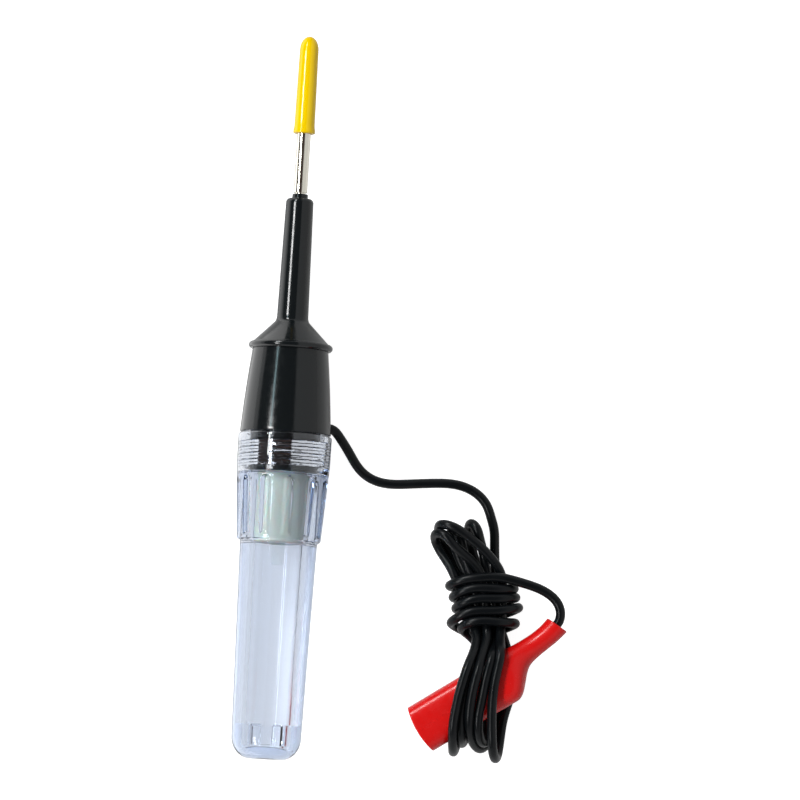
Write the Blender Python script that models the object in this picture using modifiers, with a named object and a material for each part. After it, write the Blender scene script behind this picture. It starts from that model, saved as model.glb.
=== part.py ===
"""Lamp circuit tester: a pointed probe in a black nose, a clear screw-on handle over a small
lamp, and a cord folded into a hank with a sleeved clip on its end. Metres, +Z up."""

import math

import bmesh
import bpy
from mathutils import Matrix, Vector

MM = 0.001
OBJECT_NAME = "lamp_circuit_tester"

# General: the number of flats round a turned piece, and the gap between pieces that touch
ROUND_STEPS = 36
SMALL_ROUND_STEPS = 24
MERGE = 1e-6
GAP = 0.3 * MM
CUT_PAST = 1.0 * MM
FLAT_ANGLE = math.radians(0.5)

# Handle, measured along the tester's axis from the closed end
TUBE_LENGTH = 45.6 * MM
TUBE_DRAFT = 0.8 * MM
TUBE_STEP = 0.7 * MM
END_ROUNDING = 4.6 * MM
END_ROUNDING_REACH = 4.0 * MM
END_ROUNDING_STEPS = 7
COLLAR_LENGTH = 22.3 * MM
COLLAR_FOOT_STEP = 1.0 * MM
COLLAR_WALL = 1.4 * MM
COLLAR_EDGE = 0.5 * MM
COLLAR_TAPER_LENGTH = 16.4 * MM
SLEEVE_SEAT_STEP = 0.3 * MM
TUBE_BORE_DRAFT = 0.3 * MM
END_WALL = 3.0 * MM
LEDGE_HEIGHT = 4.2 * MM
LEDGE_STEP = 1.2 * MM
LEDGE_NOTCH_COUNT = 6
LEDGE_NOTCH_WIDTH = 1.9 * MM
LEDGE_NOTCH_STEP = 0.35 * MM
FLUTE_COUNT = 12
FLUTE_WIDTH = 2.4 * MM
FLUTE_DEPTH = 0.7 * MM
FLUTE_LENGTH = 12.8 * MM
FLUTE_FOOT = 0.7 * MM
FLUTE_FIRST_ANGLE = math.radians(-80)
FLUTE_END_STEPS = 6

# Screw thread between the handle and the nose
THREAD_PITCH = 1.35 * MM
THREAD_HEIGHT = 0.7 * MM
THREAD_SPACE = 0.35 * MM
THREAD_ROOT_HALF = 0.30 * MM
THREAD_CREST_HALF = 0.15 * MM
THREAD_SINK = 0.2 * MM
THREAD_MALE_TURNS = 4
THREAD_FEMALE_TURNS = 4.25
THREAD_START = 1.0 * MM

# Nose
SPIGOT_LENGTH = 8.2 * MM
SPIGOT_CHAMFER = 0.3 * MM
SPIGOT_WALL = 1.35 * MM
SPIGOT_SPACE = 0.4 * MM
SPIGOT_BORE_DEPTH = 3.4 * MM
RIM_STEP = 0.25 * MM
BARREL_LENGTH = 17.7 * MM
BARREL_TOP_RADIUS = 7.95 * MM
BARREL_BULGE = 0.2 * MM
BARREL_STEPS = 6
FLANGE_THICKNESS = 1.3 * MM
FLANGE_STEP = 0.87 * MM
FLANGE_EDGE = 0.35 * MM
CONE_LENGTH = 4.7 * MM
CONE_FOOT_STEP = 0.72 * MM
CONE_TOP_STEP = 0.15 * MM
STEM_LENGTH = 26.0 * MM
STEM_FOOT_RADIUS = 3.3 * MM
STEM_TOP_RADIUS = 2.9 * MM
STEM_ROUNDING = 0.9 * MM
BOSS_LENGTH = 0.9 * MM
BOSS_WALL = 0.3 * MM
SPRING_POCKET_DEPTH = 10.7 * MM
SPRING_POCKET_SPACE = 0.35 * MM

# Probe and its cap
PROBE_OUT = 29.9 * MM
PROBE_RADIUS = 1.45 * MM
PROBE_ROD_STEP = 0.4 * MM
PROBE_POINT_LENGTH = 9.5 * MM
PROBE_POINT_RADIUS = 0.15 * MM
PROBE_HEAD_SPACE = 0.5 * MM
PROBE_HEAD_THICKNESS = 1.5 * MM
CAP_COVER = 17.3 * MM
CAP_ABOVE_POINT = 3.0 * MM
CAP_END_WALL = 1.6 * MM
CAP_WALL = 0.4 * MM
CAP_DRAFT = 0.17 * MM
CAP_RIM_STEP = 0.15 * MM
CAP_RIM_LENGTH = 0.7 * MM
CAP_DOME = 2.3 * MM
CAP_DOME_STEPS = 5

# Lamp, its sleeve and its contacts
RING_THICKNESS = 2.5 * MM
RING_SPACE = 0.8 * MM
BULB_FLANGE_THICKNESS = 0.8 * MM
BULB_BARREL_RADIUS = 3.05 * MM
BULB_BARREL_LENGTH = 3.0 * MM
BULB_SHELL_RADIUS = 3.3 * MM
BULB_SHELL_LENGTH = 5.6 * MM
BULB_GLASS_STEP = 0.1 * MM
BULB_GLASS_LENGTH = 10.0 * MM
BULB_GLASS_STEPS = 6
BULB_CONTACT_RADIUS = 1.4 * MM
BULB_CONTACT_THICKNESS = 0.8 * MM
SPRING_WIRE_RADIUS = 0.25 * MM
SPRING_RADIUS = 2.2 * MM
SPRING_TURNS = 6
SPRING_POINTS_PER_TURN = 12
SLEEVE_SPACE = 1.1 * MM
SLEEVE_WALL = 0.8 * MM
SLEEVE_LENGTH = 22.3 * MM
SLEEVE_END_WALL = 1.0 * MM
SLEEVE_END_EDGE = 0.5 * MM
SLEEVE_LIP_STEP = 0.4 * MM
SLEEVE_LIP_LENGTH = 0.9 * MM
NUB_RADIUS = 1.35 * MM
NUB_LENGTH = 4.5 * MM
NUB_EDGE = 0.4 * MM

# Cord and its exit from the nose
CORD_RADIUS = 1.0 * MM
CORD_HOLE_RADIUS = 1.3 * MM
CORD_HOLE_ABOVE_RIM = 1.85 * MM
CORD_HOLE_ANGLE = math.radians(25)
CORD_STARTS_AT = 6.9 * MM
CORD_POINT_SPACING = 4.0 * MM
CONDUCTOR_RADIUS = 0.45 * MM
CONDUCTOR_LENGTH = 1.1 * MM

# Clip, in its own frame: U runs from the mouth to the cord, V across to the neck's side
CLIP_MOUTH = (31.9 * MM, -67.8 * MM)
CLIP_ANGLE = math.radians(34.3)
CLIP_HEIGHT = 6.7 * MM
BOOT_WALL = 0.8 * MM
BOOT_SIDES = 20
# Each row: U, lower V, upper V, half thickness, squareness, lean of the section along U
BOOT_SECTIONS = [
    (0.0, -5.25, 5.25, 4.3, 7.5, 0.0),
    (10.0, -5.25, 5.25, 4.3, 7.5, 0.0),
    (20.0, -5.4, 5.25, 4.3, 7.5, 0.0),
    (21.2, -5.4, 5.25, 4.3, 7.0, 0.0),
    (22.6, -4.5, 5.25, 4.2, 6.0, 0.0),
    (24.0, -3.0, 5.25, 4.0, 5.0, 0.0),
    (25.4, -1.4, 5.2, 3.5, 4.0, 0.0),
    (26.8, -0.3, 5.15, 2.95, 3.0, 0.0),
    (28.6, 0.3, 5.15, 2.5, 2.4, -0.1),
    (31.0, 0.7, 5.25, 2.3, 2.0, -0.2),
    (33.6, 1.1, 5.65, 2.3, 2.0, -0.3),
    (36.0, 1.75, 6.3, 2.3, 2.0, -0.44),
]
SHEET = 0.5 * MM
JAW_FIXED_HALF = 2.8 * MM
JAW_MOVING_HALF = 2.0 * MM
JAW_PIVOT_U = 14.0 * MM
JAW_BACK_V = 4.1 * MM
# Backs of the jaws from tip to tail, and the notch behind the ears: U and V in millimetres
FIXED_JAW_FRONT = [(1.6, 2.3), (3.2, 3.2), (8.0, 4.1)]
FIXED_JAW_NOTCH = [(20.8, 1.9), (17.6, 0.7)]
MOVING_JAW_BACK = [(1.6, -1.6), (4.0, -2.2), (8.0, -3.5), (10.5, -3.9), (16.0, -3.9), (20.8, -4.15)]
MOVING_JAW_NOTCH = [(20.8, -3.4), (17.4, -1.2)]
TEETH_COUNT = 8
TEETH_END_U = 9.8 * MM
TEETH_HEIGHT = 0.6 * MM
TEETH_MEET_GAP = 0.5 * MM
PIN_RADIUS = 0.8 * MM
PIN_HALF_LENGTH = 3.2 * MM
PIN_HOLE_RADIUS = 1.05 * MM
PIN_STEPS = 20
EAR_RADIUS = 1.85 * MM
EAR_STEPS = 6
CRIMP_START_U = 20.3 * MM
CRIMP_END_U = 26.4 * MM
CRIMP_CUT_U = 22.3 * MM
CRIMP_LOW_V = 1.9 * MM
CRIMP_HALF = 1.25 * MM
CRIMP_SHEET = 0.4 * MM
CLIP_CONDUCTOR_V = 2.75 * MM
CLIP_CONDUCTOR_START_U = 22.7 * MM
CLIP_CONDUCTOR_END_U = 27.0 * MM
CLIP_SPRING_RADIUS = 1.4 * MM
CLIP_SPRING_WIRE_RADIUS = 0.25 * MM
CLIP_SPRING_TURNS = 3
CLIP_SPRING_PITCH = 0.6 * MM
CLIP_SPRING_POINTS_PER_TURN = 10
CLIP_SPRING_LEG_U = 19.2 * MM
CLIP_SPRING_START = math.radians(100)
CLIP_SPRING_PART_TURN = math.radians(160)

# Cord route past the hole, hand placed on the floor: X, Y, Z in millimetres
LEAD_ROUTE = [
    (12.6, -9.3, 3.3), (14.2, -11.7, 2.1), (15.6, -13.7, 1.4), (17.3, -15.2, 1.05), (19.7, -16.3, 1.0),
    (22.8, -16.7, 1.0), (27.0, -16.4, 1.0), (31.5, -16.0, 1.0), (35.7, -15.9, 1.0), (38.9, -16.6, 1.0),
    (41.4, -18.0, 1.0), (43.3, -20.1, 1.1), (44.5, -22.8, 1.4), (45.0, -25.9, 1.9), (45.1, -28.4, 2.4),
]
TAIL_ROUTE = [
    (52.9, -36.2, 7.0), (55.0, -36.8, 7.0), (57.2, -37.9, 7.0), (58.9, -39.3, 6.95), (59.8, -41.2, 6.9),
    (59.75, -43.2, 6.8),
]
# The tail ends in the neck of the boot: U, V and Z in the clip's frame, in millimetres
TAIL_IN_NECK = [(35.1, 3.85, 0.05), (33.0, 3.35, 0.0), (30.5, 3.0, 0.0), (27.3, 2.75, 0.0)]

# Hank: plan outline X, Y and side profile Y, Z, hand placed, in millimetres
HANK_OUTLINE = [
    (31.4, -27.2), (32.3, -25.2), (34.2, -23.4), (36.8, -23.6), (38.6, -24.3), (40.4, -23.2), (42.2, -24.6),
    (43.4, -28.0), (43.6, -30.6), (46.4, -31.4), (48.6, -35.5), (49.6, -40.0), (49.9, -48.7), (50.6, -55.0),
    (50.7, -61.4), (49.9, -66.5), (49.4, -72.2), (48.2, -73.8), (46.6, -72.2), (44.2, -71.6), (42.6, -70.4),
    (40.8, -71.2), (39.0, -72.0), (38.1, -70.6), (38.0, -66.0), (38.3, -61.6), (39.2, -57.0), (40.6, -52.4),
    (41.4, -47.0), (38.4, -39.0), (36.0, -35.0), (33.6, -31.4),
]
HANK_SIDE = [
    (-20.0, 0.0), (-20.0, 3.6), (-24.0, 4.6), (-32.0, 6.4), (-44.0, 7.0), (-47.6, 8.4), (-52.0, 12.9),
    (-67.0, 12.9), (-71.0, 10.6), (-75.0, 6.6), (-75.0, 0.0),
]
WRAPS_CENTRE = (44.2 * MM, -41.4 * MM)
WRAPS_HALF_WIDTH = 7.9 * MM
WRAPS_LENGTH = 10.4 * MM
WRAPS_THICKNESS = 8.2 * MM
WRAPS_ROUNDING = 1.0 * MM
WRAPS_STEPS = 28
BOOT_CLEARANCE = 0.35 * MM
BOOT_ROOM_PAST = 3.0 * MM
JAW_SWEEP_START_U = -2.0 * MM
JAW_SWEEP_END_U = 12.0 * MM
JAW_SWEEP_V = 6.1 * MM
JAW_SWEEP_HALF = 3.0 * MM

# Radii that follow from the lamp outwards: its sleeve, the nose's spigot, the handle's collar
SLEEVE_BORE_RADIUS = BULB_SHELL_RADIUS + SLEEVE_SPACE
SLEEVE_RADIUS = SLEEVE_BORE_RADIUS + SLEEVE_WALL
SLEEVE_LIP_RADIUS = SLEEVE_RADIUS + SLEEVE_LIP_STEP
SPIGOT_BORE_RADIUS = SLEEVE_LIP_RADIUS + SPIGOT_SPACE
SPIGOT_RADIUS = SPIGOT_BORE_RADIUS + SPIGOT_WALL
THREAD_ROOM_RADIUS = SPIGOT_RADIUS + THREAD_HEIGHT + THREAD_SPACE
COLLAR_RADIUS = THREAD_ROOM_RADIUS + COLLAR_WALL
COLLAR_FOOT_RADIUS = COLLAR_RADIUS - COLLAR_FOOT_STEP
TUBE_TOP_RADIUS = COLLAR_FOOT_RADIUS - TUBE_STEP
TUBE_FOOT_RADIUS = TUBE_TOP_RADIUS - TUBE_DRAFT
END_FLAT_RADIUS = TUBE_FOOT_RADIUS - END_ROUNDING_REACH
TUBE_BORE_TOP_RADIUS = SLEEVE_RADIUS - SLEEVE_SEAT_STEP
TUBE_BORE_FOOT_RADIUS = TUBE_BORE_TOP_RADIUS - TUBE_BORE_DRAFT
LEDGE_RADIUS = TUBE_BORE_FOOT_RADIUS - LEDGE_STEP
RIM_RADIUS = COLLAR_RADIUS - RIM_STEP
FLANGE_RADIUS = BARREL_TOP_RADIUS + FLANGE_STEP
CONE_FOOT_RADIUS = FLANGE_RADIUS - CONE_FOOT_STEP
CONE_TOP_RADIUS = STEM_FOOT_RADIUS + CONE_TOP_STEP
RING_RADIUS = SPIGOT_BORE_RADIUS - RING_SPACE
BULB_FLANGE_RADIUS = SLEEVE_RADIUS - GAP
BULB_GLASS_RADIUS = BULB_SHELL_RADIUS - BULB_GLASS_STEP
SPRING_POCKET_RADIUS = BULB_BARREL_RADIUS + SPRING_POCKET_SPACE

# Radii that follow from the probe: its rod, the nose's boss and bore, and the tip cap
PROBE_ROD_RADIUS = PROBE_RADIUS - PROBE_ROD_STEP
PROBE_HEAD_RADIUS = SPRING_POCKET_RADIUS - PROBE_HEAD_SPACE
ROD_BORE_RADIUS = PROBE_ROD_RADIUS + GAP
BOSS_RADIUS = ROD_BORE_RADIUS + BOSS_WALL
CAP_BORE_RADIUS = PROBE_RADIUS + GAP
CAP_RADIUS = CAP_BORE_RADIUS + CAP_WALL
CAP_TOP_RADIUS = CAP_RADIUS - CAP_DRAFT
CAP_RIM_RADIUS = CAP_RADIUS + CAP_RIM_STEP

# Stations along the tester's axis that follow from the sizes above
HANDLE_TOP = TUBE_LENGTH + COLLAR_LENGTH
NOSE_RIM = HANDLE_TOP + GAP
SPIGOT_END = NOSE_RIM - SPIGOT_LENGTH
HANDLE_SHOULDER = SPIGOT_END - GAP
NOSE_FLOOR = NOSE_RIM + SPIGOT_BORE_DEPTH
POCKET_END = NOSE_FLOOR + SPRING_POCKET_DEPTH
BARREL_END = NOSE_RIM + BARREL_LENGTH
FLANGE_END = BARREL_END + FLANGE_THICKNESS
CONE_END = FLANGE_END + CONE_LENGTH
STEM_END = CONE_END + STEM_LENGTH
BOSS_END = STEM_END + BOSS_LENGTH
PROBE_SHOULDER = BOSS_END + GAP
PROBE_TIP = PROBE_SHOULDER + PROBE_OUT
CAP_FOOT = PROBE_TIP - CAP_COVER
CAP_TOP = PROBE_TIP + CAP_ABOVE_POINT
RING_TOP = NOSE_FLOOR - GAP
RING_FOOT = RING_TOP - RING_THICKNESS
BULB_FLANGE_TOP = RING_FOOT - GAP
BULB_FLANGE_FOOT = BULB_FLANGE_TOP - BULB_FLANGE_THICKNESS
BULB_BARREL_END = BULB_FLANGE_TOP + BULB_BARREL_LENGTH
BULB_SHELL_FOOT = BULB_FLANGE_FOOT - BULB_SHELL_LENGTH
CONTACT_FOOT = BULB_BARREL_END + GAP
CONTACT_TOP = CONTACT_FOOT + BULB_CONTACT_THICKNESS
HEAD_TOP = POCKET_END - GAP
HEAD_FOOT = HEAD_TOP - PROBE_HEAD_THICKNESS
SLEEVE_TOP = BULB_FLANGE_FOOT - GAP
SLEEVE_FOOT = SLEEVE_TOP - SLEEVE_LENGTH
SLEEVE_SEAT = SLEEVE_FOOT - GAP
CORD_HOLE_STATION = NOSE_RIM + CORD_HOLE_ABOVE_RIM

# The tester rests on the collar's edge and on the flange, so its point dips a little
REST_COLLAR_STATION = HANDLE_TOP - GAP
REST_FLANGE_STATION = BARREL_END + FLANGE_THICKNESS - FLANGE_EDGE
REST_DIP = math.atan2(COLLAR_RADIUS - FLANGE_RADIUS, REST_FLANGE_STATION - REST_COLLAR_STATION)


def material(name, colour, roughness, metallic=0.0, transmission=0.0):
    made = bpy.data.materials.new(name)
    made.use_nodes = True
    shader = made.node_tree.nodes["Principled BSDF"]
    shader.inputs["Base Color"].default_value = (*colour, 1.0)
    shader.inputs["Roughness"].default_value = roughness
    shader.inputs["Metallic"].default_value = metallic
    shader.inputs["Transmission Weight"].default_value = transmission
    made.diffuse_color = (*colour, 1.0)
    return made


def collection(name, hidden=False):
    made = bpy.data.collections.new(name)
    made.hide_render = hidden
    bpy.context.scene.collection.children.link(made)
    return made


def place(obj, parent, finish=None):
    """Links the object as a part with a finish, or as a cutter without one."""
    if finish is None:
        cutters.objects.link(obj)
        obj.hide_render = True
        obj.display_type = "WIRE"
    else:
        parts.objects.link(obj)
        obj.data.materials.append(finish)
    obj.parent = parent
    return obj


def turned(name, profile, parent, finish=None, closed=False, steps=ROUND_STEPS):
    """A profile of radius and height, top to bottom on its outer side, turned about Z."""
    mesh = bpy.data.meshes.new(name)
    points = [(radius, 0.0, height) for radius, height in profile]
    edges = [(index, index + 1) for index in range(len(points) - 1)]
    if closed:
        edges.append((len(points) - 1, 0))
    mesh.from_pydata(points, edges, [])
    obj = place(bpy.data.objects.new(name, mesh), parent, finish)
    screw = obj.modifiers.new("turn", "SCREW")
    screw.steps = steps
    screw.render_steps = steps
    screw.use_merge_vertices = True
    screw.merge_threshold = MERGE
    screw.use_smooth_shade = True
    return obj


def combine(obj, other, operation):
    boolean = obj.modifiers.new(operation.lower() + "_" + other.name, "BOOLEAN")
    boolean.operation = operation
    boolean.solver = "EXACT"
    boolean.object = other


def rod(name, radius, length, parent, finish=None, steps=ROUND_STEPS):
    """A cylinder about Z, centred on its origin."""
    made = bmesh.new()
    bmesh.ops.create_cone(
        made, cap_ends=True, segments=steps, radius1=radius, radius2=radius, depth=length
    )
    mesh = bpy.data.meshes.new(name)
    made.to_mesh(mesh)
    made.free()
    return place(bpy.data.objects.new(name, mesh), parent, finish)


def box(name, size, centre, parent):
    made = bmesh.new()
    bmesh.ops.create_cube(made, size=1.0)
    bmesh.ops.scale(made, vec=size, verts=made.verts)
    bmesh.ops.translate(made, vec=centre, verts=made.verts)
    mesh = bpy.data.meshes.new(name)
    made.to_mesh(mesh)
    made.free()
    return place(bpy.data.objects.new(name, mesh), parent)


def flat_piece(name, outline, thickness, parent, finish=None):
    """A flat outline in X and Y, as thick as asked and centred on Z, as a closed mesh."""
    curve = bpy.data.curves.new(name + "_outline", "CURVE")
    curve.dimensions = "2D"
    curve.fill_mode = "BOTH"
    curve.extrude = thickness / 2
    spline = curve.splines.new("POLY")
    spline.points.add(len(outline) - 1)
    for point, (x, y) in zip(spline.points, outline):
        point.co = (x, y, 0.0, 1.0)
    spline.use_cyclic_u = True
    return curve_to_mesh(name, curve, parent, finish)


def curve_to_mesh(name, curve, parent, finish=None):
    guide = bpy.data.objects.new(name + "_guide", curve)
    bpy.context.scene.collection.objects.link(guide)
    bpy.context.view_layer.update()
    graph = bpy.context.evaluated_depsgraph_get()
    mesh = bpy.data.meshes.new_from_object(guide.evaluated_get(graph))
    bpy.data.objects.remove(guide)
    mesh.name = name
    mesh.materials.clear()
    made = bmesh.new()
    made.from_mesh(mesh)
    bmesh.ops.remove_doubles(made, verts=made.verts, dist=MERGE)
    bmesh.ops.dissolve_limit(made, angle_limit=FLAT_ANGLE, verts=made.verts, edges=made.edges)
    bmesh.ops.recalc_face_normals(made, faces=made.faces)
    made.to_mesh(mesh)
    made.free()
    return place(bpy.data.objects.new(name, mesh), parent, finish)


def wire(name, points, radius, parent, finish):
    """A round wire or cord along the points, with filled ends."""
    curve = bpy.data.curves.new(name, "CURVE")
    curve.dimensions = "3D"
    curve.bevel_depth = radius
    curve.bevel_resolution = 2
    curve.use_fill_caps = True
    spline = curve.splines.new("POLY")
    spline.points.add(len(points) - 1)
    for point, place_at in zip(spline.points, points):
        point.co = (*place_at, 1.0)
    return place(bpy.data.objects.new(name, curve), parent, finish)


def smooth_route(route, spacing):
    """Points every spacing along a Catmull-Rom curve through the route's own points."""
    path = [Vector(point) for point in route]
    path = [2 * path[0] - path[1]] + path + [2 * path[-1] - path[-2]]
    fine = []
    for a, b, c, d in zip(path, path[1:], path[2:], path[3:]):
        for step in range(12):
            t = step / 12
            fine.append(
                0.5 * (2 * b + (c - a) * t + (2 * a - 5 * b + 4 * c - d) * t**2
                       + (3 * b - a - 3 * c + d) * t**3)
            )
    fine.append(path[-2])
    run = [0.0]
    for start, end in zip(fine, fine[1:]):
        run.append(run[-1] + (end - start).length)
    count = max(2, round(run[-1] / spacing))
    points = [fine[0]]
    index = 1
    for number in range(1, count):
        target = run[-1] * number / count
        while run[index] < target:
            index += 1
        share = (target - run[index - 1]) / (run[index] - run[index - 1])
        points.append(fine[index - 1].lerp(fine[index], share))
    points.append(fine[-1])
    return points


def thread_ridge(name, root_radius, crest_radius, start, turns):
    """A right-hand ridge of the thread as a closed helical bar, to be joined to a wall."""
    made = bmesh.new()
    corners = [
        (root_radius, -THREAD_ROOT_HALF),
        (crest_radius, -THREAD_CREST_HALF),
        (crest_radius, THREAD_CREST_HALF),
        (root_radius, THREAD_ROOT_HALF),
    ]
    ring = [made.verts.new((radius, 0.0, start + height)) for radius, height in corners]
    face = made.faces.new(ring)
    bmesh.ops.spin(
        made,
        geom=[face, *face.edges, *ring],
        cent=(0, 0, 0),
        axis=(0, 0, 1),
        dvec=(0, 0, THREAD_PITCH / ROUND_STEPS),
        angle=2 * math.pi * turns,
        steps=int(turns * ROUND_STEPS),
    )
    bmesh.ops.recalc_face_normals(made, faces=made.faces)
    mesh = bpy.data.meshes.new(name)
    made.to_mesh(mesh)
    made.free()
    return place(bpy.data.objects.new(name, mesh), tester)


def arc(centre, radius, start, end, steps):
    """Points of radius and height on an arc, with the angles in degrees."""
    points = []
    for step in range(steps + 1):
        angle = math.radians(start + (end - start) * step / steps)
        points.append((centre[0] + radius * math.cos(angle), centre[1] + radius * math.sin(angle)))
    return points


def end_corner():
    """The handle's rounded closed end, from the tube down to the flat, as part of an ellipse."""
    points = []
    for step in range(END_ROUNDING_STEPS + 1):
        angle = math.pi / 2 * step / END_ROUNDING_STEPS
        radius = END_FLAT_RADIUS + (TUBE_FOOT_RADIUS - END_FLAT_RADIUS) * math.cos(angle)
        points.append((radius, END_ROUNDING * (1 - math.sin(angle))))
    return points


def handle():
    collar_taper_top = TUBE_LENGTH + COLLAR_TAPER_LENGTH
    ledge_top = END_WALL + LEDGE_HEIGHT
    profile = [
        (0.0, END_WALL),
        (LEDGE_RADIUS, END_WALL),
        (LEDGE_RADIUS, ledge_top),
        (TUBE_BORE_FOOT_RADIUS, ledge_top),
        (TUBE_BORE_TOP_RADIUS, SLEEVE_SEAT),
        (SPIGOT_BORE_RADIUS, SLEEVE_SEAT),
        (SPIGOT_BORE_RADIUS, HANDLE_SHOULDER),
        (THREAD_ROOM_RADIUS, HANDLE_SHOULDER),
        (THREAD_ROOM_RADIUS, HANDLE_TOP),
        (COLLAR_RADIUS - GAP, HANDLE_TOP),
        (COLLAR_RADIUS, HANDLE_TOP - GAP),
        (COLLAR_RADIUS, collar_taper_top),
        (COLLAR_FOOT_RADIUS, TUBE_LENGTH + COLLAR_EDGE),
        (COLLAR_FOOT_RADIUS - COLLAR_EDGE, TUBE_LENGTH),
        (TUBE_TOP_RADIUS, TUBE_LENGTH),
        *end_corner(),
        (0.0, 0.0),
    ]
    body = turned("handle", profile, tester, clear_plastic)
    ridge = thread_ridge(
        "cut_handle_thread",
        THREAD_ROOM_RADIUS + THREAD_SINK,
        THREAD_ROOM_RADIUS - THREAD_HEIGHT,
        HANDLE_SHOULDER + THREAD_START,
        THREAD_FEMALE_TURNS,
    )
    combine(body, ridge, "UNION")
    flutes(body)
    notch_foot = END_WALL + LEDGE_NOTCH_STEP
    notch_tall = ledge_top + CUT_PAST - notch_foot
    notch_inner = LEDGE_RADIUS - CUT_PAST
    notch_outer = TUBE_BORE_FOOT_RADIUS - LEDGE_NOTCH_STEP
    for number in range(LEDGE_NOTCH_COUNT):
        notch = box(
            f"cut_ledge_notch_{number}",
            (notch_outer - notch_inner, LEDGE_NOTCH_WIDTH, notch_tall),
            ((notch_outer + notch_inner) / 2, 0.0, notch_foot + notch_tall / 2),
            tester,
        )
        notch.rotation_euler.z = 2 * math.pi * (number + 0.5) / LEDGE_NOTCH_COUNT
        combine(body, notch, "DIFFERENCE")


def flutes(body):
    """Finger flutes in the collar, round at the top and following its taper."""
    rise = COLLAR_TAPER_LENGTH - COLLAR_EDGE
    taper = math.atan2(COLLAR_RADIUS - COLLAR_FOOT_RADIUS, rise)
    half = FLUTE_WIDTH / 2
    straight = FLUTE_LENGTH - half
    outline = [(0.0, -half), (straight, -half)]
    for step in range(1, FLUTE_END_STEPS):
        angle = -math.pi / 2 + math.pi * step / FLUTE_END_STEPS
        outline.append((straight + half * math.cos(angle), half * math.sin(angle)))
    outline += [(straight, half), (0.0, half)]
    thickness = 2 * (FLUTE_DEPTH + CUT_PAST)
    for number in range(FLUTE_COUNT):
        cutter = flat_piece(f"cut_flute_{number}", outline, thickness, tester)
        angle = FLUTE_FIRST_ANGLE + 2 * math.pi * number / FLUTE_COUNT
        foot_radius = COLLAR_FOOT_RADIUS - FLUTE_DEPTH + thickness / 2
        along = Vector((math.sin(taper), 0.0, math.cos(taper)))
        out = Vector((math.cos(taper), 0.0, -math.sin(taper)))
        side = out.cross(along)
        frame = Matrix((along, side, along.cross(side))).transposed().to_4x4()
        frame.translation = Vector((foot_radius, 0.0, TUBE_LENGTH + FLUTE_FOOT))
        cutter.matrix_local = Matrix.Rotation(angle, 4, "Z") @ frame
        combine(body, cutter, "DIFFERENCE")


def nose_housing():
    barrel = []
    for step in range(BARREL_STEPS + 1):
        share = step / BARREL_STEPS
        radius = BARREL_TOP_RADIUS + (RIM_RADIUS - BARREL_TOP_RADIUS) * share
        radius += BARREL_BULGE * math.sin(math.pi * share)
        barrel.append((radius, BARREL_END - BARREL_LENGTH * share))
    profile = [
        (ROD_BORE_RADIUS, BOSS_END),
        (BOSS_RADIUS, BOSS_END),
        (BOSS_RADIUS, STEM_END),
        *arc((STEM_TOP_RADIUS - STEM_ROUNDING, STEM_END - STEM_ROUNDING), STEM_ROUNDING, 90, 0, 4),
        (STEM_FOOT_RADIUS, CONE_END + STEM_ROUNDING),
        (CONE_TOP_RADIUS, CONE_END),
        (CONE_FOOT_RADIUS, FLANGE_END),
        (FLANGE_RADIUS - FLANGE_EDGE, FLANGE_END),
        (FLANGE_RADIUS, FLANGE_END - FLANGE_EDGE),
        (FLANGE_RADIUS, BARREL_END + FLANGE_EDGE),
        (FLANGE_RADIUS - FLANGE_EDGE, BARREL_END),
        *barrel,
        (SPIGOT_RADIUS, NOSE_RIM),
        (SPIGOT_RADIUS, SPIGOT_END + SPIGOT_CHAMFER),
        (SPIGOT_RADIUS - SPIGOT_CHAMFER, SPIGOT_END),
        (SPIGOT_BORE_RADIUS, SPIGOT_END),
        (SPIGOT_BORE_RADIUS, NOSE_FLOOR),
        (SPRING_POCKET_RADIUS, NOSE_FLOOR),
        (SPRING_POCKET_RADIUS, POCKET_END),
        (ROD_BORE_RADIUS, POCKET_END),
    ]
    body = turned("nose_housing", profile, tester, black_plastic, closed=True)
    ridge = thread_ridge(
        "cut_nose_thread",
        SPIGOT_RADIUS - THREAD_SINK,
        SPIGOT_RADIUS + THREAD_HEIGHT,
        HANDLE_SHOULDER + THREAD_START + THREAD_PITCH / 2,
        THREAD_MALE_TURNS,
    )
    combine(body, ridge, "UNION")
    inner = SPIGOT_BORE_RADIUS - CUT_PAST
    hole = rod("cut_cord_hole", CORD_HOLE_RADIUS, RIM_RADIUS + CUT_PAST - inner, tester, steps=20)
    middle = (RIM_RADIUS + CUT_PAST + inner) / 2
    hole.matrix_local = cord_hole_frame() @ Matrix.Translation((0.0, 0.0, middle))
    combine(body, hole, "DIFFERENCE")


def cord_hole_frame():
    """A frame whose Z runs out along the cord hole from the tester's axis."""
    turn = Matrix.Rotation(CORD_HOLE_ANGLE, 4, "Z") @ Matrix.Rotation(math.pi / 2, 4, "Y")
    return Matrix.Translation((0.0, 0.0, CORD_HOLE_STATION)) @ turn


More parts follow.
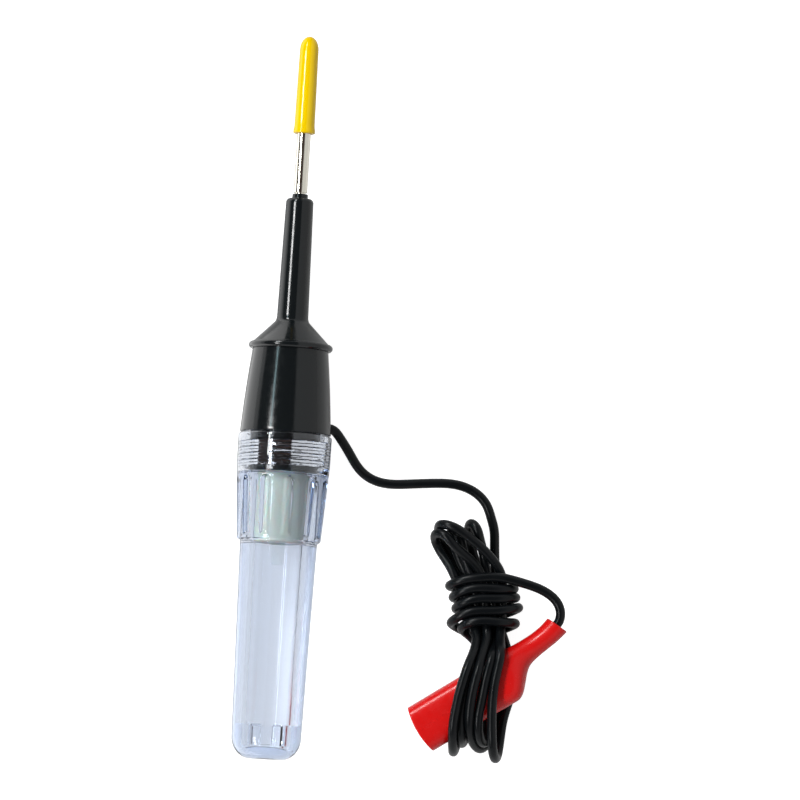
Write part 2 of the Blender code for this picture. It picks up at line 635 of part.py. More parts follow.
def probe_and_cap():
    probe_profile = [
        (0.0, PROBE_TIP),
        (PROBE_POINT_RADIUS, PROBE_TIP - PROBE_POINT_RADIUS),
        (PROBE_RADIUS, PROBE_TIP - PROBE_POINT_LENGTH),
        (PROBE_RADIUS, PROBE_SHOULDER),
        (PROBE_ROD_RADIUS, PROBE_SHOULDER),
        (PROBE_ROD_RADIUS, HEAD_TOP),
        (PROBE_HEAD_RADIUS, HEAD_TOP),
        (PROBE_HEAD_RADIUS, HEAD_FOOT),
        (0.0, HEAD_FOOT),
    ]
    turned("probe", probe_profile, tester, nickel, steps=SMALL_ROUND_STEPS)
    dome = []
    for step in range(CAP_DOME_STEPS + 1):
        angle = math.pi / 2 * step / CAP_DOME_STEPS
        dome.append((CAP_TOP_RADIUS * math.sin(angle), CAP_DOME * (math.cos(angle) - 1)))
    bore_end = CAP_COVER + CAP_ABOVE_POINT - CAP_END_WALL
    full = CAP_COVER + CAP_ABOVE_POINT
    cap_profile = [(radius, full + height) for radius, height in dome] + [
        (CAP_RADIUS, 2 * CAP_RIM_LENGTH),
        (CAP_RIM_RADIUS, CAP_RIM_LENGTH),
        (CAP_RIM_RADIUS, 0.0),
        (CAP_BORE_RADIUS, 0.0),
        (CAP_BORE_RADIUS, bore_end - CAP_BORE_RADIUS / 2),
        (CAP_BORE_RADIUS / 2, bore_end),
        (0.0, bore_end),
    ]
    cap = turned("tip_cap", cap_profile, tester, yellow_vinyl, steps=SMALL_ROUND_STEPS)
    cap.location.z = CAP_FOOT


def lamp():
    """The little lamp in its translucent sleeve. It moves along the axis with the handle."""
    rest = BULB_FLANGE_TOP
    glass_top = BULB_SHELL_FOOT - GAP
    glass_end = glass_top - BULB_GLASS_LENGTH
    glass = [(BULB_GLASS_RADIUS, glass_top), (BULB_GLASS_RADIUS, glass_end + BULB_GLASS_RADIUS)]
    for step in range(1, BULB_GLASS_STEPS + 1):
        angle = math.pi / 2 * step / BULB_GLASS_STEPS
        reach = BULB_GLASS_RADIUS * math.cos(angle)
        glass.append((reach, glass_end + BULB_GLASS_RADIUS * (1 - math.sin(angle))))
    glass[-1] = (0.0, glass_end)
    base = [
        (0.0, BULB_BARREL_END),
        (BULB_BARREL_RADIUS, BULB_BARREL_END),
        (BULB_BARREL_RADIUS, BULB_FLANGE_TOP),
        (BULB_FLANGE_RADIUS, BULB_FLANGE_TOP),
        (BULB_FLANGE_RADIUS, BULB_FLANGE_FOOT),
        (BULB_SHELL_RADIUS, BULB_FLANGE_FOOT),
        (BULB_SHELL_RADIUS, BULB_SHELL_FOOT),
        (0.0, BULB_SHELL_FOOT),
    ]
    contact = [
        (0.0, CONTACT_TOP),
        (BULB_CONTACT_RADIUS, CONTACT_TOP),
        (BULB_CONTACT_RADIUS, CONTACT_FOOT),
        (0.0, CONTACT_FOOT),
    ]
    sleeve = [
        (0.0, SLEEVE_FOOT + SLEEVE_END_WALL),
        (SLEEVE_BORE_RADIUS, SLEEVE_FOOT + SLEEVE_END_WALL),
        (SLEEVE_BORE_RADIUS, SLEEVE_TOP),
        (SLEEVE_LIP_RADIUS, SLEEVE_TOP),
        (SLEEVE_LIP_RADIUS, SLEEVE_TOP - SLEEVE_LIP_LENGTH),
        (SLEEVE_RADIUS, SLEEVE_TOP - SLEEVE_LIP_LENGTH),
        (SLEEVE_RADIUS, SLEEVE_FOOT + SLEEVE_END_EDGE),
        (SLEEVE_RADIUS - SLEEVE_END_EDGE, SLEEVE_FOOT),
        (NUB_RADIUS, SLEEVE_FOOT),
        (NUB_RADIUS, SLEEVE_FOOT - NUB_LENGTH + NUB_EDGE),
        (NUB_RADIUS - NUB_EDGE, SLEEVE_FOOT - NUB_LENGTH),
        (0.0, SLEEVE_FOOT - NUB_LENGTH),
    ]
    carrier = empty("lamp_carrier", tester)
    carrier.location.z = rest
    pieces = [
        ("bulb_glass", [(0.0, glass_top), *glass], bulb_glass_finish),
        ("bulb_base", base, brass),
        ("bulb_contact", contact, solder),
        ("lamp_sleeve", sleeve, milky_plastic),
    ]
    for name, profile, finish in pieces:
        lowered = [(radius, height - rest) for radius, height in profile]
        turned(name, lowered, carrier, finish, steps=SMALL_ROUND_STEPS)


def nose_contacts():
    ring_bore = BULB_BARREL_RADIUS + GAP
    ring = [
        (ring_bore, RING_TOP),
        (RING_RADIUS, RING_TOP),
        (RING_RADIUS, RING_FOOT),
        (ring_bore, RING_FOOT),
    ]
    turned("ground_ring", ring, tester, brass, closed=True, steps=SMALL_ROUND_STEPS)
    low = CONTACT_TOP + GAP + SPRING_WIRE_RADIUS
    high = HEAD_FOOT - GAP - SPRING_WIRE_RADIUS
    points = []
    steps = SPRING_TURNS * SPRING_POINTS_PER_TURN
    for step in range(steps + 1):
        angle = 2 * math.pi * step / SPRING_POINTS_PER_TURN
        height = low + (high - low) * step / steps
        points.append((SPRING_RADIUS * math.cos(angle), SPRING_RADIUS * math.sin(angle), height))
    wire("contact_spring", points, SPRING_WIRE_RADIUS, tester, spring_steel)
    start = RING_RADIUS + GAP
    frame = cord_hole_frame()
    ends = [frame @ Vector((0.0, 0.0, reach)) for reach in (start, start + CONDUCTOR_LENGTH)]
    wire("nose_conductor", ends, CONDUCTOR_RADIUS, tester, copper)


def cords():
    to_world = tester.matrix_world @ cord_hole_frame()
    reaches = (CORD_STARTS_AT, SPIGOT_RADIUS + GAP, RIM_RADIUS, RIM_RADIUS + CORD_HOLE_RADIUS)
    lead = [to_world @ Vector((0.0, 0.0, reach)) for reach in reaches]
    lead += [Vector(point) * MM for point in LEAD_ROUTE]
    wire("cord_lead", smooth_route(lead, CORD_POINT_SPACING), CORD_RADIUS, None, black_cord)
    tail = [Vector(point) * MM for point in TAIL_ROUTE]
    tail += [clip.matrix_world @ (Vector(point) * MM) for point in TAIL_IN_NECK]
    wire("cord_tail", smooth_route(tail, CORD_POINT_SPACING), CORD_RADIUS, None, black_cord)


def boot_skin(name, grow, reach, parent, finish=None):
    """The clip sleeve's outer skin, lofted through its sections and open at both ends.
    It is grown and lengthened for a cutter, which has its ends closed."""
    made = bmesh.new()
    rings = []
    last = len(BOOT_SECTIONS) - 1
    for number, (u, low, high, half, squareness, lean) in enumerate(BOOT_SECTIONS):
        shift = -reach if number == 0 else reach if number == last else 0.0
        centre = (low + high) / 2 * MM
        width = (high - low) / 2 * MM + grow
        depth = half * MM + grow
        ring = []
        for side in range(BOOT_SIDES):
            angle = 2 * math.pi * side / BOOT_SIDES
            cosine = math.cos(angle)
            sine = math.sin(angle)
            across = width * math.copysign(abs(cosine) ** (2 / squareness), cosine)
            up = depth * math.copysign(abs(sine) ** (2 / squareness), sine)
            along = u * MM + shift + lean * across
            ring.append(made.verts.new((along, centre + across, up)))
        rings.append(ring)
    for first, second in zip(rings, rings[1:]):
        for side in range(BOOT_SIDES):
            after = (side + 1) % BOOT_SIDES
            made.faces.new((first[side], first[after], second[after], second[side]))
    if finish is None:
        made.faces.new(rings[0])
        made.faces.new(reversed(rings[-1]))
    mesh = bpy.data.meshes.new(name)
    made.to_mesh(mesh)
    made.free()
    return place(bpy.data.objects.new(name, mesh), parent, finish)


def in_metres(rows):
    return [(first * MM, second * MM) for first, second in rows]


def clip_boot():
    boot = boot_skin("clip_boot", 0.0, 0.0, clip, red_vinyl)
    shell = boot.modifiers.new("wall", "SOLIDIFY")
    shell.thickness = BOOT_WALL
    shell.offset = -1.0


def teeth(level, direction, tip_u):
    """The zigzag of teeth from the back of the row to the tip."""
    points = []
    steps = 2 * TEETH_COUNT
    for step in range(steps + 1):
        u = TEETH_END_U + (tip_u - TEETH_END_U) * step / steps
        tooth = TEETH_HEIGHT / 2 if step % 2 else -TEETH_HEIGHT / 2
        points.append((u, level * direction + tooth))
    return points


def ear(direction):
    """The round ear about the pivot, from the tail's side to the teeth's side."""
    points = []
    for step in range(EAR_STEPS + 1):
        angle = math.pi * step / EAR_STEPS
        u = JAW_PIVOT_U + EAR_RADIUS * math.cos(angle)
        points.append((u, -direction * EAR_RADIUS * math.sin(angle)))
    return points


def jaw(name, direction, half_width, outer, tail, finish):
    """A stamped channel: its side outline, less its inside, with the pivot hole."""
    level = (TEETH_MEET_GAP + TEETH_HEIGHT) / 2
    outline = outer + tail + ear(direction) + teeth(level, direction, outer[0][0])
    body = flat_piece(name, outline, 2 * half_width, clip, finish)
    back = [(u, v - direction * SHEET) for u, v in outer]
    tip_u, tip_v = back[0]
    end_u, end_v = back[-1]
    open_side = -direction * JAW_BACK_V
    inside = [
        (tip_u - 2 * CUT_PAST, open_side),
        (tip_u - 2 * CUT_PAST, tip_v - direction * CUT_PAST),
        *back,
        (end_u + CUT_PAST, end_v),
        (end_u + CUT_PAST, open_side),
    ]
    channel = flat_piece("cut_" + name, inside, 2 * (half_width - SHEET), clip)
    combine(body, channel, "DIFFERENCE")
    hole = rod(f"cut_{name}_hole", PIN_HOLE_RADIUS, 3 * half_width, clip, steps=PIN_STEPS)
    hole.location.x = JAW_PIVOT_U
    hole.rotation_euler.z = math.pi / PIN_STEPS
    combine(body, hole, "DIFFERENCE")
    return body


def clip_metal():
    fixed_tail = in_metres(FIXED_JAW_NOTCH)
    fixed_outer = in_metres(FIXED_JAW_FRONT) + [(fixed_tail[0][0], JAW_BACK_V)]
    fixed = jaw("clip_jaw_fixed", 1, JAW_FIXED_HALF, fixed_outer, fixed_tail, nickel)
    web = JAW_BACK_V - CRIMP_SHEET / 2
    crimp_outline = [
        (CRIMP_START_U, web), (CRIMP_END_U, web), (CRIMP_END_U, CRIMP_LOW_V),
        (CRIMP_CUT_U, CRIMP_LOW_V), (CRIMP_START_U, web - CRIMP_SHEET),
    ]
    crimp = flat_piece("cut_crimp", crimp_outline, 2 * CRIMP_HALF, clip)
    groove_start = CRIMP_START_U + CUT_PAST
    groove_end = CRIMP_END_U + CUT_PAST
    groove_low = CRIMP_LOW_V - CUT_PAST
    groove_high = web - CRIMP_SHEET
    groove = box(
        "cut_crimp_groove",
        (groove_end - groove_start, groove_high - groove_low, 2 * (CRIMP_HALF - CRIMP_SHEET)),
        ((groove_start + groove_end) / 2, (groove_low + groove_high) / 2, 0.0),
        clip,
    )
    combine(crimp, groove, "DIFFERENCE")
    combine(fixed, crimp, "UNION")
    moving_outer = in_metres(MOVING_JAW_BACK)
    moving_tail = in_metres(MOVING_JAW_NOTCH)
    moving = jaw("clip_jaw_moving", -1, JAW_MOVING_HALF, moving_outer, moving_tail, nickel)
    pivot = empty("clip_pivot", clip)
    pivot.location.x = JAW_PIVOT_U
    moving.data.transform(Matrix.Translation((-JAW_PIVOT_U, 0.0, 0.0)))
    moving.parent = pivot
    pin = rod("clip_pin", PIN_RADIUS, 2 * PIN_HALF_LENGTH, clip, spring_steel, steps=PIN_STEPS)
    pin.location.x = JAW_PIVOT_U
    conductor = [
        (CLIP_CONDUCTOR_START_U, CLIP_CONDUCTOR_V, 0.0),
        (CLIP_CONDUCTOR_END_U, CLIP_CONDUCTOR_V, 0.0),
    ]
    wire("clip_conductor", conductor, CONDUCTOR_RADIUS, clip, copper)
    clip_spring()


def clip_spring():
    """The torsion spring round the pivot, with a leg against the back of each jaw."""
    rest_off = SHEET + GAP + CLIP_SPRING_WIRE_RADIUS
    turned_by = 2 * math.pi * CLIP_SPRING_TURNS + CLIP_SPRING_PART_TURN
    steps = int(CLIP_SPRING_POINTS_PER_TURN * turned_by / (2 * math.pi))
    length = CLIP_SPRING_PITCH * turned_by / (2 * math.pi)
    coil = []
    for step in range(steps + 1):
        angle = CLIP_SPRING_START + turned_by * step / steps
        u = JAW_PIVOT_U + CLIP_SPRING_RADIUS * math.cos(angle)
        v = CLIP_SPRING_RADIUS * math.sin(angle)
        coil.append((u, v, length * (step / steps - 0.5)))
    fixed_leg = (CLIP_SPRING_LEG_U, JAW_BACK_V - rest_off, -length / 2)
    moving_leg = (CLIP_SPRING_LEG_U, rest_off - JAW_BACK_V, length / 2)
    wire("clip_spring", [fixed_leg, *coil, moving_leg], CLIP_SPRING_WIRE_RADIUS, clip, spring_steel)


def cord_hank():
    """The folded hank as one solid: its plan outline and side profile, and the wraps."""
    outline = in_metres(HANK_OUTLINE)
    profile = in_metres(HANK_SIDE)
    tall = 2 * (max(height for _, height in profile) + CUT_PAST)
    wide = 2 * (max(abs(x - WRAPS_CENTRE[0]) for x, _ in outline) + CUT_PAST)
    hank = flat_piece("cord_hank", outline, tall, None, black_cord)
    side = flat_piece("cut_hank_side", profile, wide, None)
    turn = Matrix(((0, 0, 1), (1, 0, 0), (0, 1, 0))).to_4x4()
    side.matrix_local = Matrix.Translation((WRAPS_CENTRE[0], 0.0, 0.0)) @ turn
    combine(hank, side, "INTERSECT")
    half = WRAPS_LENGTH / 2
    edge = WRAPS_ROUNDING
    drum_profile = [
        (0.0, half),
        (WRAPS_HALF_WIDTH - edge, half),
        (WRAPS_HALF_WIDTH, half - edge),
        (WRAPS_HALF_WIDTH, edge - half),
        (WRAPS_HALF_WIDTH - edge, -half),
        (0.0, -half),
    ]
    drum = turned("cut_wraps", drum_profile, None, steps=WRAPS_STEPS)
    squash = Matrix.Diagonal((1.0, WRAPS_THICKNESS / (2 * WRAPS_HALF_WIDTH), 1.0, 1.0))
    drum.matrix_local = (
        Matrix.Translation((*WRAPS_CENTRE, WRAPS_THICKNESS / 2))
        @ Matrix.Rotation(math.pi / 2, 4, "X")
        @ squash
    )
    combine(hank, drum, "UNION")
    room = boot_skin("cut_boot_room", BOOT_CLEARANCE, BOOT_ROOM_PAST, clip)
    combine(hank, room, "DIFFERENCE")
    sweep = box(
        "cut_jaw_room",
        (JAW_SWEEP_END_U - JAW_SWEEP_START_U, JAW_SWEEP_V, 2 * JAW_SWEEP_HALF),
        ((JAW_SWEEP_START_U + JAW_SWEEP_END_U) / 2, -JAW_SWEEP_V / 2, 0.0),
        clip,
    )
    combine(hank, sweep, "DIFFERENCE")


def empty(name, parent):
    made = bpy.data.objects.new(name, None)
    parts.objects.link(made)
    made.parent = parent
    return made


for old in list(bpy.data.objects):
    bpy.data.objects.remove(old)

parts = collection(OBJECT_NAME)
cutters = collection("cutters", hidden=True)

black_plastic = material("black_plastic", (0.012, 0.012, 0.013), 0.18)
clear_plastic = material("clear_plastic", (0.86, 0.88, 0.95), 0.04, transmission=1.0)
milky_plastic = material("milky_plastic", (0.72, 0.80, 0.68), 0.35)
yellow_vinyl = material("yellow_vinyl", (0.95, 0.66, 0.01), 0.25)
red_vinyl = material("red_vinyl", (0.72, 0.010, 0.012), 0.28)
black_cord = material("black_cord", (0.016, 0.017, 0.019), 0.4)
nickel = material("nickel", (0.66, 0.63, 0.56), 0.16, metallic=1.0)
spring_steel = material("spring_steel", (0.55, 0.55, 0.56), 0.3, metallic=1.0)
brass = material("brass", (0.80, 0.60, 0.28), 0.28, metallic=1.0)
copper = material("copper", (0.78, 0.36, 0.20), 0.35, metallic=1.0)
solder = material("solder", (0.62, 0.62, 0.62), 0.4, metallic=1.0)
bulb_glass_finish = material("bulb_glass", (0.95, 0.96, 0.97), 0.02, transmission=1.0)

tester = empty("tester_axis", None)
tester.rotation_euler.x = -(math.pi / 2 + REST_DIP)
length_at_rest = CAP_TOP * math.cos(REST_DIP) - END_FLAT_RADIUS * math.sin(REST_DIP)
tester.location.y = -length_at_rest / 2
tester.location.z = COLLAR_RADIUS * math.cos(REST_DIP) + REST_COLLAR_STATION * math.sin(REST_DIP)
clip = empty("clip_frame", None)
clip.location = (*CLIP_MOUTH, CLIP_HEIGHT)
clip.rotation_euler.z = CLIP_ANGLE
bpy.context.view_layer.update()

handle()
nose_housing()
probe_and_cap()
lamp()
nose_contacts()
clip_boot()
clip_metal()
cords()
cord_hank()
bpy.context.view_layer.update()
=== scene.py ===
"""The lamp circuit tester's looks: camera, materials, finer pieces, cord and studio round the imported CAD."""

import math

import bmesh
import bpy
import numpy as np
from mathutils import Matrix, Vector


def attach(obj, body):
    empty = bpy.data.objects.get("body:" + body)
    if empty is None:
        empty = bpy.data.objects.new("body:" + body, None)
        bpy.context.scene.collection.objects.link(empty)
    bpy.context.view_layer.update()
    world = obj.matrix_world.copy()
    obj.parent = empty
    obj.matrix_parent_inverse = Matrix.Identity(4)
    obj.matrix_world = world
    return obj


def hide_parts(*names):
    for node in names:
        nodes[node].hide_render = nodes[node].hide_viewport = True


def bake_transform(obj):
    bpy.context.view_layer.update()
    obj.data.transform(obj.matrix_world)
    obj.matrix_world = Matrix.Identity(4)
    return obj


MM = 0.001

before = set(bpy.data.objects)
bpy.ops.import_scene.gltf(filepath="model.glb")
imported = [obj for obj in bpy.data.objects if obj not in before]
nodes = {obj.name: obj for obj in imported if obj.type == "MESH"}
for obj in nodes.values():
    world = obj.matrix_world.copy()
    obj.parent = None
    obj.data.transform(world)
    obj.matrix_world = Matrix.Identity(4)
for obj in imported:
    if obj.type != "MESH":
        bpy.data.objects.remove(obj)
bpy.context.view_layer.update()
scene = bpy.context.scene
scene.view_settings.view_transform = "Standard"

# Camera: straight down but for a small tilt, from far away
TARGET = Vector((23.5553, 0.8378, 10.0)) * MM
DISTANCE = 1200 * MM
FOCAL = 5727.6
FRAME_SIDE = 800
SENSOR = 36.0
ROLL = 0.0606
TILT = math.radians(2.0)
CLIP_NEAR = 0.05
CLIP_FAR = 20.0


def make_camera():
    right = Vector((math.cos(ROLL), math.sin(ROLL), 0.0))
    up_flat = Vector((-math.sin(ROLL), math.cos(ROLL), 0.0))
    back = math.cos(TILT) * Vector((0, 0, 1)) - math.sin(TILT) * up_flat
    up = back.cross(right)
    data = bpy.data.cameras.new("camera")
    data.sensor_width = SENSOR
    data.lens = FOCAL / FRAME_SIDE * SENSOR
    data.clip_start = CLIP_NEAR
    data.clip_end = CLIP_FAR
    camera = bpy.data.objects.new("camera", data)
    scene.collection.objects.link(camera)
    turn = Matrix((right, up, back)).transposed().to_4x4()
    camera.matrix_world = Matrix.Translation(TARGET + DISTANCE * back) @ turn
    scene.camera = camera


make_camera()

# Frames of the CAD: the tester's axis, tipped as it lies, and the clip's
COLLAR_DROP = 0.98
COLLAR_RUN = 19.25
REST_DIP = math.atan2(COLLAR_DROP, COLLAR_RUN)
TESTER_PLACE = Matrix.Translation((0.0, -0.0758178, 0.0132243))
TESTER = TESTER_PLACE @ Matrix.Rotation(-(math.pi / 2 + REST_DIP), 4, "X")
CLIP_PLACE = Matrix.Translation((0.0319, -0.0678, 0.0067))
CLIP = CLIP_PLACE @ Matrix.Rotation(math.radians(34.3), 4, "Z")

# Mesh helpers: how much of a side an eased corner may take, and where long stretches get rows of their own
EASE_SHARE = 0.48
HELD_FROM = 1.0
HELD_AT = 0.2


def between(first, second, share):
    return first + (second - first) * share


def link(name, mesh, finish, body=None):
    obj = bpy.data.objects.new(name, mesh)
    scene.collection.objects.link(obj)
    obj.data.materials.clear()
    obj.data.materials.append(finish)
    if body:
        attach(obj, body)
    return obj


def smooth(mesh, angle=32):
    mesh.polygons.foreach_set("use_smooth", [True] * len(mesh.polygons))
    mesh.set_sharp_from_angle(angle=math.radians(angle))
    mesh.update()


def rows_of(profile, reach=None, steps=5):
    """The profile in millimetres with each corner eased by its third number, as rows for turned()."""
    rows = []
    count = len(profile)
    for index, (radius, height, ease) in enumerate(profile):
        here = Vector((radius, height))
        if index in (0, count - 1) or ease <= 0:
            rows.append((radius, height, reach))
            continue
        before = Vector(profile[index - 1][:2])
        after = Vector(profile[index + 1][:2])
        start = here + (before - here).normalized() * min(ease, EASE_SHARE * (before - here).length)
        end = here + (after - here).normalized() * min(ease, EASE_SHARE * (after - here).length)
        for step in range(steps + 1):
            t = step / steps
            point = start * (1 - t) ** 2 + here * 2 * t * (1 - t) + end * t**2
            rows.append((point[0], point[1], reach))
    return held(rows)


def held(rows):
    """The rows with two more near the ends of each long stretch, which keep its shading straight."""
    kept = [rows[0]]
    for first, second in zip(rows, rows[1:]):
        run = math.hypot(second[0] - first[0], second[1] - first[1])
        if run > HELD_FROM:
            for share in (HELD_AT / run, 1 - HELD_AT / run):
                radius = between(first[0], second[0], share)
                kept.append((radius, between(first[1], second[1], share), second[2]))
        kept.append(second)
    return kept


def turned(name, rows, steps=144, closed=False):
    """A mesh turned about Z, in metres, from rows of radius, height and, where it isn't round, its reach."""
    angles = 2 * math.pi * np.arange(steps) / steps
    corners = []
    rings = []
    for radius, height, reach in rows:
        first = len(corners)
        if radius < 1e-6:
            corners.append((0.0, 0.0, height * MM))
            rings.append([first])
            continue
        far = reach(radius, height, angles) if reach else np.full(steps, radius)
        ring = np.stack([far * np.cos(angles), far * np.sin(angles), np.full(steps, height)], 1) * MM
        corners.extend(ring.tolist())
        rings.append(list(range(first, first + steps)))
    pairs = list(zip(rings, rings[1:]))
    if closed:
        pairs.append((rings[-1], rings[0]))
    faces = []
    for upper, lower in pairs:
        for step in range(steps):
            after = (step + 1) % steps
            if len(upper) == 1:
                faces.append((upper[0], lower[step], lower[after]))
            elif len(lower) == 1:
                faces.append((upper[step], lower[0], upper[after]))
            else:
                faces.append((upper[step], lower[step], lower[after], upper[after]))
    mesh = bpy.data.meshes.new(name)
    mesh.from_pydata(corners, [], faces)
    face_out(mesh)
    return mesh


def face_out(mesh):
    made = bmesh.new()
    made.from_mesh(mesh)
    bmesh.ops.recalc_face_normals(made, faces=made.faces)
    made.to_mesh(mesh)
    made.free()


def helper(name, mesh):
    obj = bpy.data.objects.new(name, mesh)
    scene.collection.objects.link(obj)
    return obj


def applied(name, obj, extra=()):
    """The object's mesh with its modifiers applied; the working objects are removed."""
    bpy.context.view_layer.update()
    graph = bpy.context.evaluated_depsgraph_get()
    result = bpy.data.meshes.new_from_object(obj.evaluated_get(graph))
    for used in [obj, *extra]:
        bpy.data.objects.remove(used)
    result.name = name
    result.materials.clear()
    return result


def cut_out(name, mesh, tool):
    base = helper(name + "_work", mesh)
    cutter = helper(name + "_tool", tool)
    step = base.modifiers.new("cut", "BOOLEAN")
    step.operation = "DIFFERENCE"
    step.solver = "EXACT"
    step.object = cutter
    return applied(name, base, [cutter])


def eased(share):
    share = np.clip(share, 0.0, 1.0)
    return share * share * (3 - 2 * share)


# Material helpers
def mixed(tree, factor, first, second):
    """The result of a colour mix by this socket; each colour is a socket or plain numbers."""
    made = tree.nodes.new("ShaderNodeMix")
    made.data_type = "RGBA"
    tree.links.new(factor, made.inputs["Factor"])
    places = [socket for socket in made.inputs if socket.type == "RGBA"]
    for place, colour in zip(places, (first, second)):
        if isinstance(colour, tuple):
            place.default_value = (*colour, 1.0)
        else:
            tree.links.new(colour, place)
    return [socket for socket in made.outputs if socket.type == "RGBA"][0]


class Finish:
    """A Principled material with its varying parts built from nodes on object coordinates."""

    def __init__(self, name, colour, roughness, **sockets):
        self.material = bpy.data.materials.new(name)
        self.material.use_nodes = True
        self.tree = self.material.node_tree
        self.shader = self.tree.nodes["Principled BSDF"]
        self.output = self.tree.nodes["Material Output"]
        self.shader.inputs["Base Color"].default_value = (*colour, 1.0)
        self.shader.inputs["Roughness"].default_value = roughness
        for key, value in sockets.items():
            self.shader.inputs[key.replace("_", " ")].default_value = value
        self.place = self.tree.nodes.new("ShaderNodeTexCoord").outputs["Object"]
        self.bumps = None

    def node(self, kind, **settings):
        made = self.tree.nodes.new(kind)
        for key, value in settings.items():
            setattr(made, key, value)
        return made

    def wire(self, source, target):
        self.tree.links.new(source, target)

    def mapped(self, scale=(1, 1, 1)):
        mapping = self.node("ShaderNodeMapping")
        mapping.inputs["Scale"].default_value = scale
        self.wire(self.place, mapping.inputs["Vector"])
        return mapping.outputs["Vector"]

    def noise(self, scale, detail=2.0, vector=None):
        made = self.node("ShaderNodeTexNoise")
        made.inputs["Scale"].default_value = scale
        made.inputs["Detail"].default_value = detail
        self.wire(vector or self.place, made.inputs["Vector"])
        return made.outputs["Fac"]

    def ranged(self, value, low, high, start=0.3, end=0.7):
        made = self.node("ShaderNodeMapRange")
        for key, number in (("From Min", start), ("From Max", end), ("To Min", low), ("To Max", high)):
            made.inputs[key].default_value = number
        self.wire(value, made.inputs["Value"])
        return made.outputs["Result"]

    def rough(self, value, low, high):
        self.wire(self.ranged(value, low, high), self.shader.inputs["Roughness"])

    def bump(self, height, strength, distance):
        made = self.node("ShaderNodeBump")
        made.inputs["Strength"].default_value = strength
        made.inputs["Distance"].default_value = distance
        self.wire(height, made.inputs["Height"])
        if self.bumps is not None:
            self.wire(self.bumps, made.inputs["Normal"])
        self.bumps = made.outputs["Normal"]
        self.wire(self.bumps, self.shader.inputs["Normal"])

    def tint(self, value, first, second):
        result = mixed(self.tree, self.ranged(value, 0.0, 1.0), first, second)
        self.wire(result, self.shader.inputs["Base Color"])


def black_moulded():
    made = Finish("black_moulded_nose", (0.006, 0.008, 0.009), 0.14, IOR=1.5, Specular_IOR_Level=0.42)
    along = made.mapped(scale=(1.0, 0.12, 1.0))
    made.rough(made.noise(900), 0.10, 0.18)
    made.bump(made.noise(420, vector=along), 0.07, 0.0002)
    made.bump(made.noise(3200, 1.0), 0.03, 0.0001)
    return made.material


def clear_moulded():
    made = Finish("clear_handle", (0.985, 0.99, 1.0), 0.01, IOR=1.49, Transmission_Weight=1.0)
    made.rough(made.noise(500), 0.012, 0.025)
    made.bump(made.noise(160, vector=made.mapped(scale=(1.0, 0.3, 1.0))), 0.03, 0.0002)
    volume = made.node("ShaderNodeVolumeAbsorption")
    volume.inputs["Color"].default_value = (0.12, 0.38, 0.80, 1.0)
    volume.inputs["Density"].default_value = 47.0
    made.wire(volume.outputs["Volume"], made.output.inputs["Volume"])
    return made.material


# The sleeve's nub is thin and nearly clear: how much of it shows, and where the sleeve's body starts
NUB_ALPHA = 0.12
NUB_END = -0.0308
NUB_FADE = 0.0003


def milky_moulded():
    made = Finish("milky_sleeve", (0.33, 0.37, 0.34), 0.5, IOR=1.46, Specular_IOR_Level=0.3)
    made.shader.inputs["Subsurface Weight"].default_value = 0.6
    made.shader.inputs["Subsurface Scale"].default_value = 0.004
    made.rough(made.noise(700), 0.45, 0.56)
    made.bump(made.noise(900), 0.05, 0.0002)
    made.tint(made.noise(110, 3.0), (0.31, 0.35, 0.32), (0.34, 0.38, 0.35))
    parts = made.node("ShaderNodeSeparateXYZ")
    made.wire(made.place, parts.inputs[0])
    body = made.ranged(parts.outputs["Y"], NUB_ALPHA, 1.0, NUB_END - NUB_FADE, NUB_END + NUB_FADE)
    made.wire(body, made.shader.inputs["Alpha"])
    return made.material


def vinyl(name, light, dark, roughness, relief):
    made = Finish(name, light, roughness, IOR=1.5, Specular_IOR_Level=0.34)
    made.rough(made.noise(600, 3.0), roughness * 0.8, roughness * 1.25)
    made.bump(made.noise(260, 3.0), relief, 0.0003)
    made.tint(made.noise(90, 3.0), light, dark)
    return made.material


def cord_jacket():
    made = Finish("cord_jacket", (0.003, 0.004, 0.005), 0.30, IOR=1.5, Specular_IOR_Level=0.2)
    made.rough(made.noise(300), 0.27, 0.34)
    made.bump(made.noise(260), 0.03, 0.0002)
    return made.material


def metal(name, colour, roughness, relief=0.05):
    made = Finish(name, colour, roughness, Metallic=1.0)
    made.rough(made.noise(900, 3.0), roughness * 0.8, roughness * 1.2)
    made.bump(made.noise(1500, 3.0), relief, 0.0001)
    return made.material


def lamp_glass():
    made = Finish("lamp_glass", (0.95, 0.96, 0.97), 0.02, IOR=1.5, Transmission_Weight=1.0)
    made.bump(made.noise(300), 0.03, 0.0002)
    return made.material


BLACK = black_moulded()
CLEAR = clear_moulded()
MILKY = milky_moulded()
YELLOW = vinyl("yellow_cap_vinyl", (0.92, 0.62, 0.0), (0.90, 0.58, 0.0), 0.06, 0.005)
RED = vinyl("red_boot_vinyl", (0.68, 0.006, 0.005), (0.62, 0.005, 0.005), 0.24, 0.006)
JACKET = cord_jacket()
NICKEL = metal("nickel_plate", (0.86, 0.83, 0.73), 0.17, 0.008)
STEEL = metal("spring_steel_wire", (0.55, 0.55, 0.56), 0.3)
BRASS = metal("brass_turned", (0.80, 0.60, 0.28), 0.28)
COPPER = metal("copper_strand", (0.78, 0.36, 0.20), 0.35)
SOLDER = metal("solder_bead", (0.62, 0.62, 0.62), 0.4)
CAD_FINISHES = {
    "contact_spring": STEEL,
    "ground_ring": BRASS,
    "nose_conductor": COPPER,
    "bulb_glass": lamp_glass(),
    "bulb_base": BRASS,
    "bulb_contact": SOLDER,
    "clip_jaw_fixed": NICKEL,
    "clip_jaw_moving": NICKEL,
    "clip_pin": STEEL,
    "clip_spring": STEEL,
    "clip_conductor": COPPER,
}
